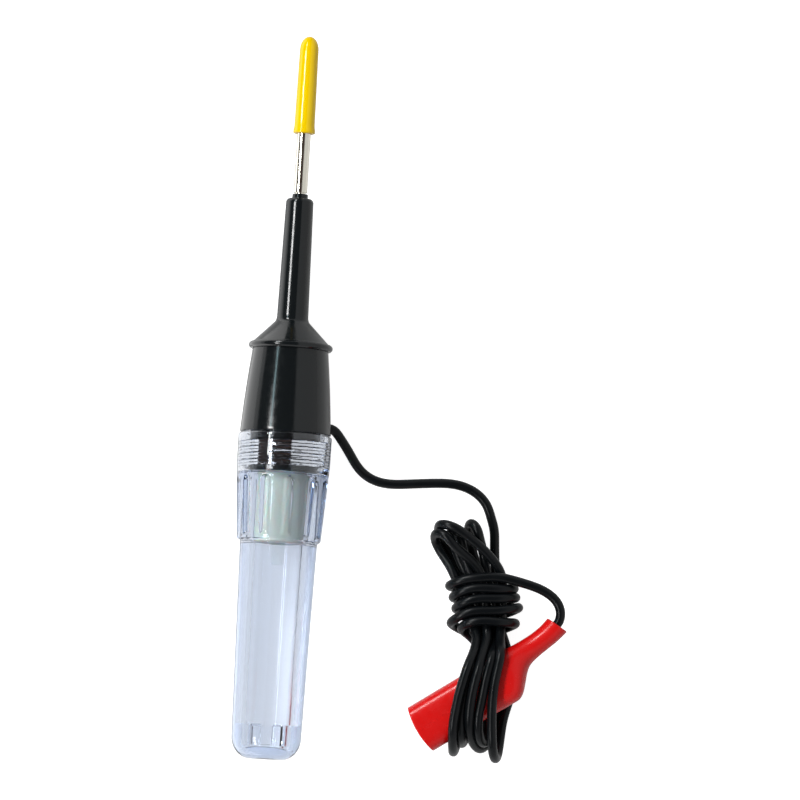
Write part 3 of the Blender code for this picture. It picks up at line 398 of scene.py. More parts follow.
for node_name, finish in CAD_FINISHES.items():
    node = nodes[node_name]
    node.data.materials.clear()
    node.data.materials.append(finish)

# Threads, flutes and notches: a thread is its first and last height, half its root's width, and its depth
THREAD_PITCH = 1.35
THREAD_CREST_HALF = 0.08
THREAD_FADE = 0.5
HANDLE_THREAD = (60.7, 66.44, 0.60)
HANDLE_THREAD_DEPTH = 0.55
NOSE_THREAD = (61.375, 66.775, 0.45)
NOSE_THREAD_DEPTH = 0.60
FLUTES = 12
FLUTE_WIDTH = 2.4
FLUTE_DEPTH = 0.55
FLUTE_FOOT = 46.3
FLUTE_TOP = 59.1
FLUTE_FIRST = math.radians(-80)
FLUTE_EDGE = 0.9
NOTCHES = 6
NOTCH_FIRST = math.radians(30)
NOTCH_WIDTH = 1.9
NOTCH_REACH = 4.0


def thread_height(height, angles, first, last, root_half):
    """How far a right-hand thread stands up, from 0 to 1, at one height and these angles."""
    turns = (height - first) / THREAD_PITCH - angles / (2 * math.pi)
    off = (turns - np.round(turns)) * THREAD_PITCH
    ridge = np.clip((root_half - np.abs(off)) / (root_half - THREAD_CREST_HALF), 0.0, 1.0)
    middle = height - off
    start = eased((middle - first) / THREAD_FADE + 0.5)
    return ridge * start * eased((last - middle) / THREAD_FADE + 0.5)


def nearest(angles, count, first):
    """Each angle's distance from the nearest of so many evenly spaced places."""
    share = 2 * math.pi / count
    off = (angles - first + share / 2) % share
    return off - share / 2


def handle_thread(radius, height, angles):
    return radius - HANDLE_THREAD_DEPTH * thread_height(height, angles, *HANDLE_THREAD)


def nose_thread(radius, height, angles):
    return radius + NOSE_THREAD_DEPTH * thread_height(height, angles, *NOSE_THREAD)


def fluted(radius, height, angles):
    half = FLUTE_WIDTH / 2
    across = nearest(angles, FLUTES, FLUTE_FIRST) * radius
    centre = FLUTE_TOP - half
    if height > centre:
        inside = half - np.hypot(across, height - centre)
    else:
        inside = np.minimum(half - np.abs(across), height - FLUTE_FOOT)
    return radius - FLUTE_DEPTH * eased(inside / FLUTE_EDGE)


def notched(radius, height, angles):
    across = np.abs(nearest(angles, NOTCHES, NOTCH_FIRST)) * radius
    return np.where(across < NOTCH_WIDTH / 2, NOTCH_REACH, radius)


def spaced(start, end, step, reach):
    """Rows between two heights, close enough together for the reach to show."""
    count = round(abs(end[1] - start[1]) / step)
    rows = []
    for number in range(count + 1):
        share = number / count
        rows.append((between(start[0], end[0], share), between(start[1], end[1], share), reach))
    return rows


# Handle, and the round corner of its closed end
HANDLE_TOP = 67.9
END_FLAT = 3.3
END_ROUND = 4.0
END_HEIGHT = 4.6


def end_corner(steps=20):
    points = []
    for step in range(steps + 1):
        angle = math.pi / 2 * step / steps
        points.append((END_FLAT + END_ROUND * math.cos(angle), END_HEIGHT * (1 - math.sin(angle)), 0.0))
    return points


def make_handle():
    rows = rows_of([(0.0, 3.0, 0), (3.4, 3.0, 0.25), (3.4, 3.34, 0)])
    rows += rows_of([(3.4, 3.36, 0), (3.4, 6.85, 0), (3.75, 7.2, 0)], notched)
    rows += rows_of([
        (4.6, 7.2, 0), (4.9, 44.8, 0), (6.0, 44.8, 0.2), (6.0, 59.7, 0.2), (8.4, 59.7, 0.2), (8.4, 60.1, 0),
    ])
    rows += spaced((8.4, 60.2), (8.4, 67.1), 0.09, handle_thread)
    rows += rows_of([
        (8.4, 67.2, 0), (8.4, HANDLE_TOP, 0.12), (9.8, HANDLE_TOP, 0.4), (9.8, 62.0, 2.0), (9.67, 60.0, 0),
    ])
    rows += spaced((9.66, 59.8), (8.81, 46.2), 0.2, fluted)
    rows += rows_of([
        (8.8, 46.1, 0), (8.7, 45.75, 0), (8.3, 45.6, 0.2), (8.1, 45.4, 0.15), *end_corner(), (0.0, 0.0, 0),
    ])
    mesh = turned("handle_clear", rows, steps=360)
    mesh.transform(TESTER)
    smooth(mesh, 34)
    handle = link("handle_clear", mesh, CLEAR, "grip")
    handle.visible_shadow = False
    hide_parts("handle")


# The cord's hole in the nose, and how far out along it the cord's first places are
HOLE_REACHES = [6.9, 7.65, 9.55, 10.85]
CORD_HOLE_FRAME = (
    TESTER
    @ Matrix.Translation((0.0, 0.0, 70.05 * MM))
    @ Matrix.Rotation(math.radians(25), 4, "Z")
    @ Matrix.Rotation(math.pi / 2, 4, "Y")
)


# Nose
BARREL_STEPS = 24
BARREL_RADII = (7.95, 9.55)
BARREL_TOP = 85.9
BARREL_LENGTH = 17.7
BARREL_BULGE = 0.12
BARREL_FOOT_EASE = 0.25
BOSS_STEPS = 8
BOSS_ROUND = 0.9
BOSS_CENTRE = (2.0, 117.0)


def barrel_side():
    """The barrel's slightly bulged side, from the flange down to the joint."""
    points = []
    for step in range(BARREL_STEPS + 1):
        share = step / BARREL_STEPS
        radius = between(*BARREL_RADII, share) + BARREL_BULGE * math.sin(math.pi * share)
        ease = BARREL_FOOT_EASE if step == BARREL_STEPS else 0.0
        points.append((radius, BARREL_TOP - BARREL_LENGTH * share, ease))
    return points


def boss_corner():
    """The round shoulder at the top of the stem."""
    points = []
    for step in range(BOSS_STEPS + 1):
        angle = math.radians(90 - 90 * step / BOSS_STEPS)
        out, up = BOSS_ROUND * math.cos(angle), BOSS_ROUND * math.sin(angle)
        points.append((BOSS_CENTRE[0] + out, BOSS_CENTRE[1] + up, 0.0))
    return points


def make_nose():
    rows = rows_of([
        (1.35, 118.8, 0), (1.65, 118.8, 0.12), (1.65, 117.9, 0.15), *boss_corner(),
        (3.3, 92.8, 0.0), (3.45, 91.9, 0.5), (8.1, 87.2, 0.25), (8.47, 87.2, 0.0), (8.82, 86.85, 0.3),
        (8.82, 86.25, 0.3), (8.47, 85.9, 0.0), *barrel_side(), (7.35, 68.2, 0.1), (7.35, 67.8, 0),
    ])
    rows += spaced((7.35, 67.6), (7.35, 60.7), 0.12, nose_thread)
    rows += rows_of([
        (7.35, 60.5, 0), (7.35, 60.3, 0.0), (7.05, 60.0, 0.0), (6.0, 60.0, 0.1), (6.0, 71.6, 0.2),
        (3.4, 71.6, 0.1), (3.4, 82.3, 0.2), (1.35, 82.3, 0.0),
    ])
    body = turned("nose_body", rows, steps=240, closed=True)
    drill = rows_of([(0.0, 12.0, 0), (1.3, 12.0, 0), (1.3, 5.0, 0), (0.0, 5.0, 0)])
    hole = turned("nose_hole", drill, steps=40)
    hole.transform(TESTER.inverted() @ CORD_HOLE_FRAME)
    mesh = cut_out("nose_black", body, hole)
    mesh.transform(TESTER)
    smooth(mesh, 34)
    nose = link("nose_black", mesh, BLACK, "nose")
    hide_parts("nose_housing")


# Probe and cap
def make_probe():
    mesh = turned("probe_nickel", rows_of([
        (0.0, 149.0, 0), (0.15, 148.85, 0.08), (1.45, 139.5, 0.6), (1.45, 119.1, 0.1), (1.05, 119.1, 0),
        (1.05, 82.0, 0), (2.9, 82.0, 0.1), (2.9, 80.5, 0.1), (0.0, 80.5, 0),
    ]), steps=96)
    mesh.transform(TESTER)
    smooth(mesh, 32)
    probe = link("probe_nickel", mesh, NICKEL, "nose")
    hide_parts("probe")


CAP_STEPS = 16
CAP_RADIUS = 1.98
CAP_TIP = 152.35
CAP_DOME = 2.9


def make_cap():
    dome = []
    for step in range(CAP_STEPS + 1):
        angle = math.pi / 2 * step / CAP_STEPS
        dome.append((CAP_RADIUS * math.sin(angle), CAP_TIP + CAP_DOME * (math.cos(angle) - 1), 0.0))
    mesh = turned("cap_yellow", rows_of(dome + [
        (2.15, 133.1, 0.8), (2.3, 132.4, 0.3), (2.3, 131.7, 0.25), (1.75, 131.7, 0.12),
        (1.75, 149.525, 0.4), (0.875, 150.4, 0.2), (0.0, 150.4, 0),
    ]), steps=96)
    mesh.transform(TESTER)
    smooth(mesh, 40)
    cap = link("cap_yellow", mesh, YELLOW, "cap")
    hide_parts("tip_cap")


# Lamp sleeve
def make_sleeve():
    mesh = turned("sleeve_milky", rows_of([
        (0.0, 46.1, 0), (4.4, 46.1, 0.3), (4.4, 67.4, 0.1), (5.6, 67.4, 0.12), (5.6, 66.5, 0.12),
        (5.2, 66.5, 0.1), (5.2, 45.6, 0.2), (4.7, 45.1, 0.3), (1.35, 45.1, 0.3), (1.35, 41.0, 0.2),
        (0.95, 40.6, 0.3), (0.0, 40.6, 0),
    ]), steps=120)
    mesh.transform(TESTER)
    smooth(mesh, 34)
    sleeve = link("sleeve_milky", mesh, MILKY, "lamp")
    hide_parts("lamp_sleeve")


# Clip boot: U along it, lowest and highest V, half thickness, squareness and lean
BOOT_SECTIONS = [
    (0.0, -5.25, 5.25, 4.3, 3.6, 0.0),
    (10.0, -5.25, 5.25, 4.3, 3.6, 0.0),
    (19.0, -5.35, 5.25, 4.3, 3.4, 0.0),
    (21.2, -5.3, 5.25, 4.3, 3.2, 0.0),
    (22.6, -4.5, 5.25, 4.15, 3.0, 0.0),
    (24.0, -3.0, 5.25, 3.8, 2.7, 0.0),
    (25.4, -1.4, 5.2, 3.3, 2.4, 0.0),
    (26.8, -0.3, 5.15, 2.85, 2.2, 0.0),
    (28.6, 0.3, 5.15, 2.5, 2.0, -0.1),
    (31.0, 0.7, 5.25, 2.3, 2.0, -0.2),
    (33.6, 1.1, 5.65, 2.3, 2.0, -0.3),
    (36.0, 1.75, 6.3, 2.3, 2.0, -0.44),
]
BOOT_WALL = 0.8
BOOT_SIDES = 120
BOOT_STEP = 0.4
BOOT_EDGE = 0.25
MOUTH_BULGE = 0.7
MOUTH_FADE = 6.0


def boot_section(u):
    """The section at U, read smoothly between the rows."""
    rows = BOOT_SECTIONS
    index = 0
    while index < len(rows) - 2 and rows[index + 1][0] < u:
        index += 1
    first, second = rows[index], rows[index + 1]
    before = rows[max(index - 1, 0)]
    after = rows[min(index + 2, len(rows) - 1)]
    span = second[0] - first[0]
    t = (u - first[0]) / span
    values = []
    for column in range(1, 6):
        slope_a = (second[column] - before[column]) / (second[0] - before[0])
        slope_b = (after[column] - first[column]) / (after[0] - first[0])
        values.append(
            first[column] * (2 * t**3 - 3 * t**2 + 1) + second[column] * (3 * t**2 - 2 * t**3)
            + span * slope_a * (t**3 - 2 * t**2 + t) + span * slope_b * (t**3 - t**2)
        )
    return values


def boot_ring(u, wall):
    """One ring of the boot's outer or inner side, in millimetres in the clip's frame."""
    low, high, half, squareness, lean = boot_section(u)
    centre = (low + high) / 2
    width = (high - low) / 2 - wall
    depth = half - wall
    ring = []
    for side in range(BOOT_SIDES):
        angle = 2 * math.pi * (side + 0.5) / BOOT_SIDES
        cosine, sine = math.cos(angle), math.sin(angle)
        across = width * math.copysign(abs(cosine) ** (2 / squareness), cosine)
        up = depth * math.copysign(abs(sine) ** (2 / squareness), sine)
        bulge = MOUTH_BULGE * (1 - (across / width) ** 2) * max(0.0, 1 - u / MOUTH_FADE)
        ring.append((u + lean * across - bulge, centre + across, up))
    return ring


def make_boot():
    total = BOOT_SECTIONS[-1][0]
    count = round(total / BOOT_STEP)
    stations = [total * step / count for step in range(count + 1)]
    rings = [boot_ring(u, 0.0) for u in stations] + [boot_ring(u, BOOT_WALL) for u in reversed(stations)]
    corners = [(Vector(point) * MM) for ring in rings for point in ring]
    faces = []
    for number in range(len(rings)):
        here = number * BOOT_SIDES
        there = (number + 1) % len(rings) * BOOT_SIDES
        for side in range(BOOT_SIDES):
            after = (side + 1) % BOOT_SIDES
            faces.append((here + side, here + after, there + after, there + side))
    mesh = bpy.data.meshes.new("boot_work")
    mesh.from_pydata(corners, [], faces)
    face_out(mesh)
    mesh.transform(CLIP)
    work = helper("boot_work", mesh)
    edge = work.modifiers.new("edge", "BEVEL")
    edge.width = BOOT_EDGE * MM
    edge.segments = 3
    edge.limit_method = "ANGLE"
    edge.angle_limit = math.radians(50)
    mesh = applied("boot_red", work)
    smooth(mesh, 50)
    boot = link("boot_red", mesh, RED, None)
    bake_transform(boot)
    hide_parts("clip_boot")
    return boot


# Cord: its places from the nose to the boot, listed in millimetres, then the wraps' turns
CORD_RADIUS = 1.0
COARSE_SPACING = 1.2
FINE_SPACING = 0.6
SPLINE_STEPS = 12
LEAD = [
    (12.6, -9.3, 3.3), (14.2, -11.7, 2.1), (15.6, -13.7, 1.4), (17.3, -15.2, 1.05), (19.7, -16.3, 1.0),
    (22.8, -16.7, 1.0), (27.0, -16.4, 1.0), (31.5, -16.0, 1.0), (35.7, -15.9, 1.0), (38.9, -16.6, 1.0),
    (41.4, -18.0, 1.0), (43.3, -20.1, 1.0), (44.2, -22.8, 1.0),
]
LEAD_UNDER_CLIP = [
    (45.0, -24.6, 1.0), (45.2, -27.1, 1.0), (45.4, -29.7, 1.2), (45.6, -32.2, 1.6), (45.9, -34.9, 2.4),
    (46.1, -37.6, 3.0), (46.3, -41.2, 3.0), (47.0, -44.3, 2.8), (48.0, -46.8, 2.0), (49.1, -49.7, 1.3),
    (50.1, -53.0, 1.2), (50.6, -56.8, 1.2), (50.4, -60.2, 1.2), (49.6, -62.7, 1.5), (49.1, -65.1, 2.0),
    (48.9, -68.0, 2.2), (48.7, -70.6, 2.6), (48.5, -72.2, 4.2), (48.1, -72.9, 6.6), (47.7, -72.4, 9.2),
    (47.2, -70.6, 11.3), (46.9, -67.9, 12.1), (46.7, -64.8, 12.1), (46.6, -61.9, 12.1), (46.7, -59.4, 12.1),
    (46.9, -56.4, 12.1), (47.2, -53.3, 11.4), (47.5, -50.2, 8.6), (47.5, -47.2, 6.2), (47.5, -44.3, 5.4),
    (47.5, -41.1, 5.2), (47.5, -38.0, 5.2), (47.4, -35.9, 5.3),
]
FIRST_LOOP = [
    (47.1, -34.5, 5.5), (46.5, -33.4, 5.8),
    (45.9, -32.4, 6.1), (45.0, -31.5, 6.4), (43.9, -30.3, 6.8), (42.9, -29.3, 7.1), (41.3, -28.1, 7.5),
    (39.6, -26.9, 7.8), (38.0, -25.8, 8.0), (36.9, -25.2, 8.1), (35.7, -24.8, 8.3), (34.8, -24.6, 8.2),
    (34.0, -24.6, 7.6), (33.5, -24.9, 6.4), (33.3, -25.4, 4.8), (33.4, -26.1, 3.2), (33.7, -27.0, 1.8),
    (34.3, -28.1, 1.1), (35.1, -29.2, 1.0), (35.9, -30.4, 1.0), (36.7, -31.6, 1.0), (37.4, -33.1, 1.5),
    (38.2, -35.4, 2.8), (39.3, -37.8, 4.2), (40.0, -40.1, 5.1), (40.8, -42.4, 5.3), (41.7, -44.6, 5.4),
    (42.5, -46.7, 6.2), (42.6, -48.8, 8.0), (42.1, -51.3, 10.4), (41.2, -53.6, 12.0), (40.4, -56.5, 13.0),
    (39.7, -59.3, 13.3), (39.2, -62.2, 13.3), (38.9, -64.6, 13.1), (38.8, -67.1, 12.6), (38.9, -69.2, 11.6),
    (39.0, -71.0, 9.8), (39.1, -71.9, 7.2), (39.3, -72.0, 4.6), (39.6, -71.0, 2.4), (40.0, -69.3, 1.3),
    (40.2, -66.7, 1.1), (40.3, -63.7, 1.2), (40.6, -59.9, 1.2), (41.2, -55.9, 1.2), (42.2, -52.6, 1.3),
    (42.8, -50.1, 2.0), (42.5, -47.6, 2.8), (42.0, -44.6, 3.0), (41.7, -41.5, 3.0), (40.9, -38.4, 3.0),
]
SECOND_LOOP = [
    (39.9, -35.9, 3.0), (39.1, -34.1, 2.9), (38.3, -32.1, 2.8), (37.5, -30.3, 2.6), (36.7, -28.6, 2.4),
    (36.2, -27.2, 2.2), (35.9, -26.0, 2.4), (36.0, -25.1, 3.4), (36.4, -24.8, 4.6), (36.9, -25.4, 5.5),
    (37.4, -26.3, 5.8), (37.9, -27.5, 5.6), (38.4, -29.0, 5.0), (39.0, -30.8, 4.4), (39.8, -32.9, 4.2),
    (40.8, -35.2, 4.7), (41.7, -37.9, 5.2), (42.1, -40.8, 5.2), (42.8, -43.7, 5.0), (43.6, -46.4, 4.6),
    (43.5, -48.5, 5.8), (43.0, -50.6, 8.2), (42.3, -53.2, 10.6), (41.6, -55.9, 11.9), (40.9, -58.9, 12.05),
    (40.5, -61.8, 12.05), (40.2, -64.6, 12.05), (40.2, -66.9, 11.8), (40.3, -68.6, 10.4), (40.6, -69.8, 8.0),
    (40.9, -70.2, 5.6), (41.3, -69.6, 3.4), (41.8, -67.8, 1.8), (42.1, -65.5, 1.2), (42.5, -62.7, 1.2),
    (42.9, -59.3, 1.2), (43.7, -55.7, 1.2), (44.3, -52.7, 1.4), (44.2, -50.2, 2.6), (43.1, -48.4, 3.4),
    (41.4, -46.1, 3.2), (40.2, -43.9, 3.0), (39.7, -41.4, 3.0), (39.0, -38.9, 3.1),
]
THIRD_LOOP = [
    (38.1, -36.7, 3.6),
    (37.2, -34.9, 3.9), (36.4, -33.6, 3.6), (35.6, -32.5, 3.2), (34.7, -31.2, 2.8), (33.8, -30.0, 2.4),
    (33.1, -28.8, 2.6), (32.7, -27.7, 3.6), (32.8, -26.7, 5.2), (33.3, -26.2, 6.8), (34.1, -26.3, 7.7),
    (34.9, -26.8, 8.0), (35.7, -27.9, 7.9), (36.7, -28.8, 7.6), (37.6, -29.6, 7.2), (38.7, -30.4, 6.7),
    (39.7, -31.2, 6.3), (40.8, -32.1, 5.9), (41.8, -33.1, 5.6), (42.7, -34.4, 5.3), (43.2, -36.1, 5.2),
    (43.6, -38.6, 5.2), (43.8, -41.6, 5.2), (44.2, -44.1, 5.4), (44.7, -46.6, 6.2), (44.7, -48.6, 8.0),
    (44.2, -50.5, 9.9), (43.5, -53.3, 11.7), (42.8, -56.2, 12.6), (42.3, -59.2, 12.9), (42.0, -61.9, 12.8),
    (41.9, -64.5, 12.4), (42.2, -67.0, 11.6), (43.0, -68.9, 9.8), (44.0, -70.3, 7.4), (44.9, -70.9, 5.0),
    (45.7, -70.6, 2.8), (46.5, -69.4, 1.5), (47.3, -67.8, 1.1), (48.0, -65.4, 1.1), (48.2, -62.0, 1.2),
    (47.7, -58.6, 1.2), (47.1, -54.9, 1.2), (46.4, -51.8, 1.3), (45.6, -49.1, 2.0), (44.6, -46.6, 2.6),
    (43.9, -43.9, 3.0), (43.6, -41.0, 3.0), (43.1, -38.0, 3.0),
]
FOURTH_LOOP = [
    (42.4, -35.3, 2.6), (41.8, -32.9, 1.8),
    (41.1, -30.8, 1.2), (40.5, -29.2, 1.0), (40.1, -27.6, 1.0), (39.9, -26.5, 1.1), (39.7, -25.6, 1.8),
    (39.7, -24.7, 3.2), (40.0, -24.2, 5.0), (40.5, -24.0, 6.5), (41.1, -24.4, 7.2), (41.5, -25.4, 7.0),
    (41.8, -26.6, 6.0), (42.3, -28.0, 5.0), (42.8, -29.4, 4.3), (43.2, -30.9, 4.0), (43.6, -32.8, 4.3),
    (44.0, -34.8, 4.8), (44.6, -37.3, 5.2), (45.5, -39.8, 5.2), (45.8, -42.3, 5.2), (46.1, -44.8, 4.8),
    (46.3, -47.1, 4.6), (46.4, -49.2, 6.2), (46.2, -51.3, 8.8), (45.8, -53.4, 10.8), (45.2, -55.7, 11.9),
    (44.7, -58.2, 12.1), (44.4, -60.8, 12.1), (44.0, -63.3, 12.1), (43.8, -65.8, 11.8), (44.0, -67.9, 10.4),
    (44.5, -69.5, 8.0), (45.2, -70.0, 5.6), (45.8, -69.4, 3.4), (46.1, -67.6, 1.9), (46.0, -65.1, 1.2),
    (45.5, -61.9, 1.2), (45.1, -58.8, 1.2), (44.8, -55.4, 1.1), (44.2, -52.5, 1.0), (43.4, -50.5, 1.6),
    (42.6, -48.6, 2.8), (41.5, -47.2, 3.4), (40.2, -46.5, 3.9),
]
# Each turn of the wraps, from the lowest up: left end, front, right end and lowest place behind
WRAPS = [
    ((39.0, -46.1), (43.7, -44.3), (50.7, -44.4), (42.5, -47.1)),
    ((37.1, -45.1), (43.0, -42.2), (51.2, -41.0), (44.8, -43.2)),
    ((38.0, -42.0), (43.2, -39.6), (50.4, -38.8), (44.2, -40.7)),
    ((37.2, -39.7), (42.7, -37.4), (50.0, -37.3), (43.7, -38.3)),
    ((36.3, -37.3), (43.0, -35.3), None, None),
]
WRAP_MIDDLE = 4.1
WRAP_TOP = 7.2
WRAP_FLOOR = 1.0
WRAP_START_LIFT = 1.0
FRONT_ROUNDNESS = 2.2
WRAP_ROUNDNESS = 2
TAIL = [
    (45.9, -34.9, 7.2), (48.9, -35.3, 7.2),
    (52.9, -36.2, 7.0), (55.0, -36.8, 7.0), (57.2, -37.9, 7.0), (58.9, -39.3, 6.95), (59.8, -41.2, 6.9),
    (59.75, -43.2, 6.8),
]
TAIL_IN_NECK = [(35.1, 3.85, 0.05), (33.0, 3.35, 0.0), (30.5, 3.0, 0.0), (27.3, 2.75, 0.0)]


def quarter(start, end, shares, lifts, level, curve):
    """Places on one quarter of a turn, from start to end, with heights from the middle to level."""
    rows = []
    for share, lift in zip(shares, lifts):
        rows.append((
            between(start[0], end[0], share),
            between(start[1], end[1], curve(share)),
            between(WRAP_MIDDLE, level, lift),
        ))
    return rows


def wrap_route():
    """Sixteen places a turn, from each left end over the front to the right end and back below."""
    rising = ((0.12, 0.3, 0.6, 1.0), (0.62, 0.93, 1.0, 1.0))
    falling = ((0.4, 0.7, 0.9, 1.0), (1.0, 0.97, 0.66, 0.0))
    rows = []
    for number, (left, front, right, behind) in enumerate(WRAPS):
        rows.append((*left, WRAP_MIDDLE + (WRAP_START_LIFT if number == 0 else 0.0)))
        rows += quarter(left, front, *rising, WRAP_TOP, lambda share: 1 - (1 - share) ** FRONT_ROUNDNESS)
        if right is None:
            break
        following = WRAPS[number + 1][0]
        rows += quarter(front, right, *falling, WRAP_TOP, lambda share: share**WRAP_ROUNDNESS)
        rows += quarter(right, behind, *rising, WRAP_FLOOR, lambda share: 1 - (1 - share) ** WRAP_ROUNDNESS)
        rows += quarter(behind, following, *falling, WRAP_FLOOR, lambda share: share**WRAP_ROUNDNESS)[:-1]
    return rows


def even_points(route, spacing):
    """Points every spacing along a centripetal Catmull-Rom curve through the route's points."""
    path = np.vstack([2 * route[0] - route[1], route, 2 * route[-1] - route[-2]])
    fine = []
    for a, b, c, d in zip(path, path[1:], path[2:], path[3:]):
        knots = np.cumsum([0.0] + [np.linalg.norm(step) ** 0.5 for step in (b - a, c - b, d - c)])
        for t in np.linspace(knots[1], knots[2], SPLINE_STEPS + 1)[:-1]:
            level = [a, b, c, d]
            for reach in (1, 2, 3):
                lows = knots[: 4 - reach] if reach < 3 else knots[1:2]
                highs = knots[reach:] if reach < 3 else knots[2:3]
                level = [
                    (high - t) / (high - low) * first + (t - low) / (high - low) * second
                    for low, high, first, second in zip(lows, highs, level, level[1:])
                ]
            fine.append(level[0])
    fine.append(path[-2])
    fine = np.array(fine)
    run = np.concatenate([[0.0], np.cumsum(np.linalg.norm(np.diff(fine, axis=0), axis=1))])
    want = np.linspace(0.0, run[-1], round(run[-1] / spacing) + 1)
    return np.stack([np.interp(want, run, fine[:, axis]) for axis in range(3)], 1)


# How the route settles: rounds, gap between strands, points held at the ends, and the strength of each step
SETTLE_ROUNDS = 260
SETTLE_GAP = 2.05
SETTLE_NEIGHBOURS = 5
SETTLE_HELD_FIRST = 7
SETTLE_HELD_LAST = 12
SETTLE_PART = 0.9
SETTLE_STIFFNESS = 0.09
SETTLE_BEND = 3.4
SETTLE_UNBEND = 0.35
SETTLE_EVEN = 0.25
SETTLE_LIFT = 0.5
SETTLE_HOME = np.array([0.10, 0.10, 0.03])
SETTLE_PUSH = np.array([0.45, 0.45, 1.0])
# How the boot is cleared: air round it, how much squarer it is taken, and where along it
BOOT_AIR = 0.02
BOOT_SQUARER = 1.2
BOOT_FROM = -0.5
BOOT_TO = 34


def off_boot(points):
    """How far each point has to rise or sink to clear the boot."""
    turn = np.array(CLIP.to_3x3())
    u, v, w = ((points - np.array(CLIP.translation) / MM) @ turn).T
    table = np.array(BOOT_SECTIONS)
    low, high, half, square = (np.interp(u, table[:, 0], table[:, column]) for column in range(1, 5))
    square = square + BOOT_SQUARER
    clear = CORD_RADIUS + BOOT_AIR
    share = np.abs(v - (low + high) / 2) / ((high - low) / 2 + clear)
    inside = (u > BOOT_FROM) & (u < BOOT_TO) & (share < 1)
    need = np.where(inside, (half + clear) * (1 - np.minimum(share, 1) ** square) ** (1 / square), 0)
    return np.where(inside & (np.abs(w) < need), np.sign(w) * (need - np.abs(w)), 0)


def settled(points):
    """The route relaxed: strands part to their thickness, bends ease, and floor and boot are cleared."""
    count = len(points)
    home = points.copy()
    index = np.arange(count)
    apart = np.abs(index[:, None] - index[None]) > SETTLE_NEIGHBOURS
    free = ((index >= SETTLE_HELD_FIRST) & (index <= count - SETTLE_HELD_LAST))[:, None].astype(float)
    step = np.linalg.norm(np.diff(points, axis=0), axis=1).mean()
    for _ in range(SETTLE_ROUNDS):
        away = points[:, None] - points[None]
        distance = np.linalg.norm(away, axis=2)
        rows, columns = np.nonzero(apart & (distance < SETTLE_GAP))
        near = np.maximum(distance[rows, columns], 1e-3)[:, None]
        push = np.zeros_like(points)
        np.add.at(push, rows, away[rows, columns] / near * (SETTLE_GAP - near) / 2)
        hits = np.maximum(np.bincount(rows, minlength=count), 1)[:, None]
        points = points + free * SETTLE_PUSH * push / hits * SETTLE_PART
        second = np.zeros_like(points)
        second[1:-1] = points[2:] - 2 * points[1:-1] + points[:-2]
        fourth = np.zeros_like(points)
        fourth[2:-2] = second[3:-1] - 2 * second[2:-2] + second[1:-3]
        points = points - free * SETTLE_STIFFNESS * fourth
        middle = np.zeros_like(points)
        middle[2:-2] = (points[4:] + points[:-4]) / 2 - points[2:-2]
        size = np.linalg.norm(middle, axis=1)[:, None]
        over = np.maximum(size - (2 * step) ** 2 / (2 * SETTLE_BEND), 0) / np.maximum(size, 1e-6)
        points = points + free * SETTLE_UNBEND * middle * over
        edge = np.diff(points, axis=0)
        length = np.linalg.norm(edge, axis=1)[:, None]
        shift = edge * (length - step) / length * SETTLE_EVEN
        points[:-1] += free[:-1] * shift
        points[1:] -= free[1:] * shift
        points = points + free * SETTLE_HOME * (home - points)
        points[:, 2] += SETTLE_LIFT * free[:, 0] * off_boot(points)
        points[:, 2] = np.where(free[:, 0] > 0, np.maximum(points[:, 2], CORD_RADIUS), points[:, 2])
    return points


def make_cord():
    route = [(CORD_HOLE_FRAME @ Vector((0.0, 0.0, reach * MM))) / MM for reach in HOLE_REACHES]
    route += LEAD + LEAD_UNDER_CLIP + FIRST_LOOP + SECOND_LOOP + THIRD_LOOP + FOURTH_LOOP
    route += wrap_route() + TAIL
    route += [(CLIP @ (Vector(point) * MM)) / MM for point in TAIL_IN_NECK]
    coarse = settled(even_points(np.array([tuple(point) for point in route]), COARSE_SPACING))
    points = even_points(coarse, FINE_SPACING) * MM
    curve = bpy.data.curves.new("cord", "CURVE")
    curve.dimensions = "3D"
    curve.bevel_depth = CORD_RADIUS * MM
    curve.bevel_resolution = 6
    curve.use_fill_caps = True
    spline = curve.splines.new("POLY")
    spline.points.add(len(points) - 1)
    for point, place in zip(spline.points, points):
        point.co = (*place, 1.0)
    spline.use_smooth = True
    cord = bpy.data.objects.new("cord", curve)
    scene.collection.objects.link(cord)
    curve.materials.append(JACKET)
    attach(cord, "nose")
    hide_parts("cord_lead", "cord_hank", "cord_tail")
    return cord


make_handle()
make_nose()
make_probe()
make_cap()
make_sleeve()
boot = make_boot()
cord = make_cord()


# Studio: white paper, a tunnel of light along the tester, one long key in lengths, and two cards
FLOOR_SIDE = 6.0
FLOOR_PLACE = -0.0001
FLOOR_GREY = 0.5
FLOOR_LEVELS = [("Is Camera Ray", 0.92), ("Is Glossy Ray", 0.25), ("Is Transmission Ray", 0.02)]
WHITE = (1.0, 1.0, 1.0)
TUNNEL_DARK = (0.034, 0.022, 0.019)
TUNNEL_PALE = (0.65, 0.65, 0.65)
TUNNEL_STOPS = [
    (-180, WHITE),
    (-80, WHITE),
    (-76, TUNNEL_DARK),
    (20, TUNNEL_DARK),
    (24, TUNNEL_PALE),
    (180, TUNNEL_PALE),
]
TUNNEL_ENDS = (0.8, 0.8, 0.8)
ENDS_FROM = 0.74
ENDS_TO = 0.86
FILL = (0.4, 0.4, 0.4)
KEY_ANGLE = math.radians(-38.5)
KEY_REACH = 4.0
KEY_AIM = 0.012
# Each length's start, end, width, radiance and colour
KEY_LENGTHS = [
    (-2.9, -0.3, 0.6, 15.0, WHITE),
    (-0.3, 0.03, 0.5, 3.0, WHITE),
    (0.35, 0.66, 0.3, 18.0, WHITE),
    (0.66, 0.93, 0.9, 32.0, WHITE),
    (0.93, 2.4, 0.26, 9.0, (0.6, 0.92, 1.0)),
    (2.4, 4.6, 0.9, 24.0, WHITE),
]
CARD_GREY = 0.01
BOUNCE_LEVEL = 1.9


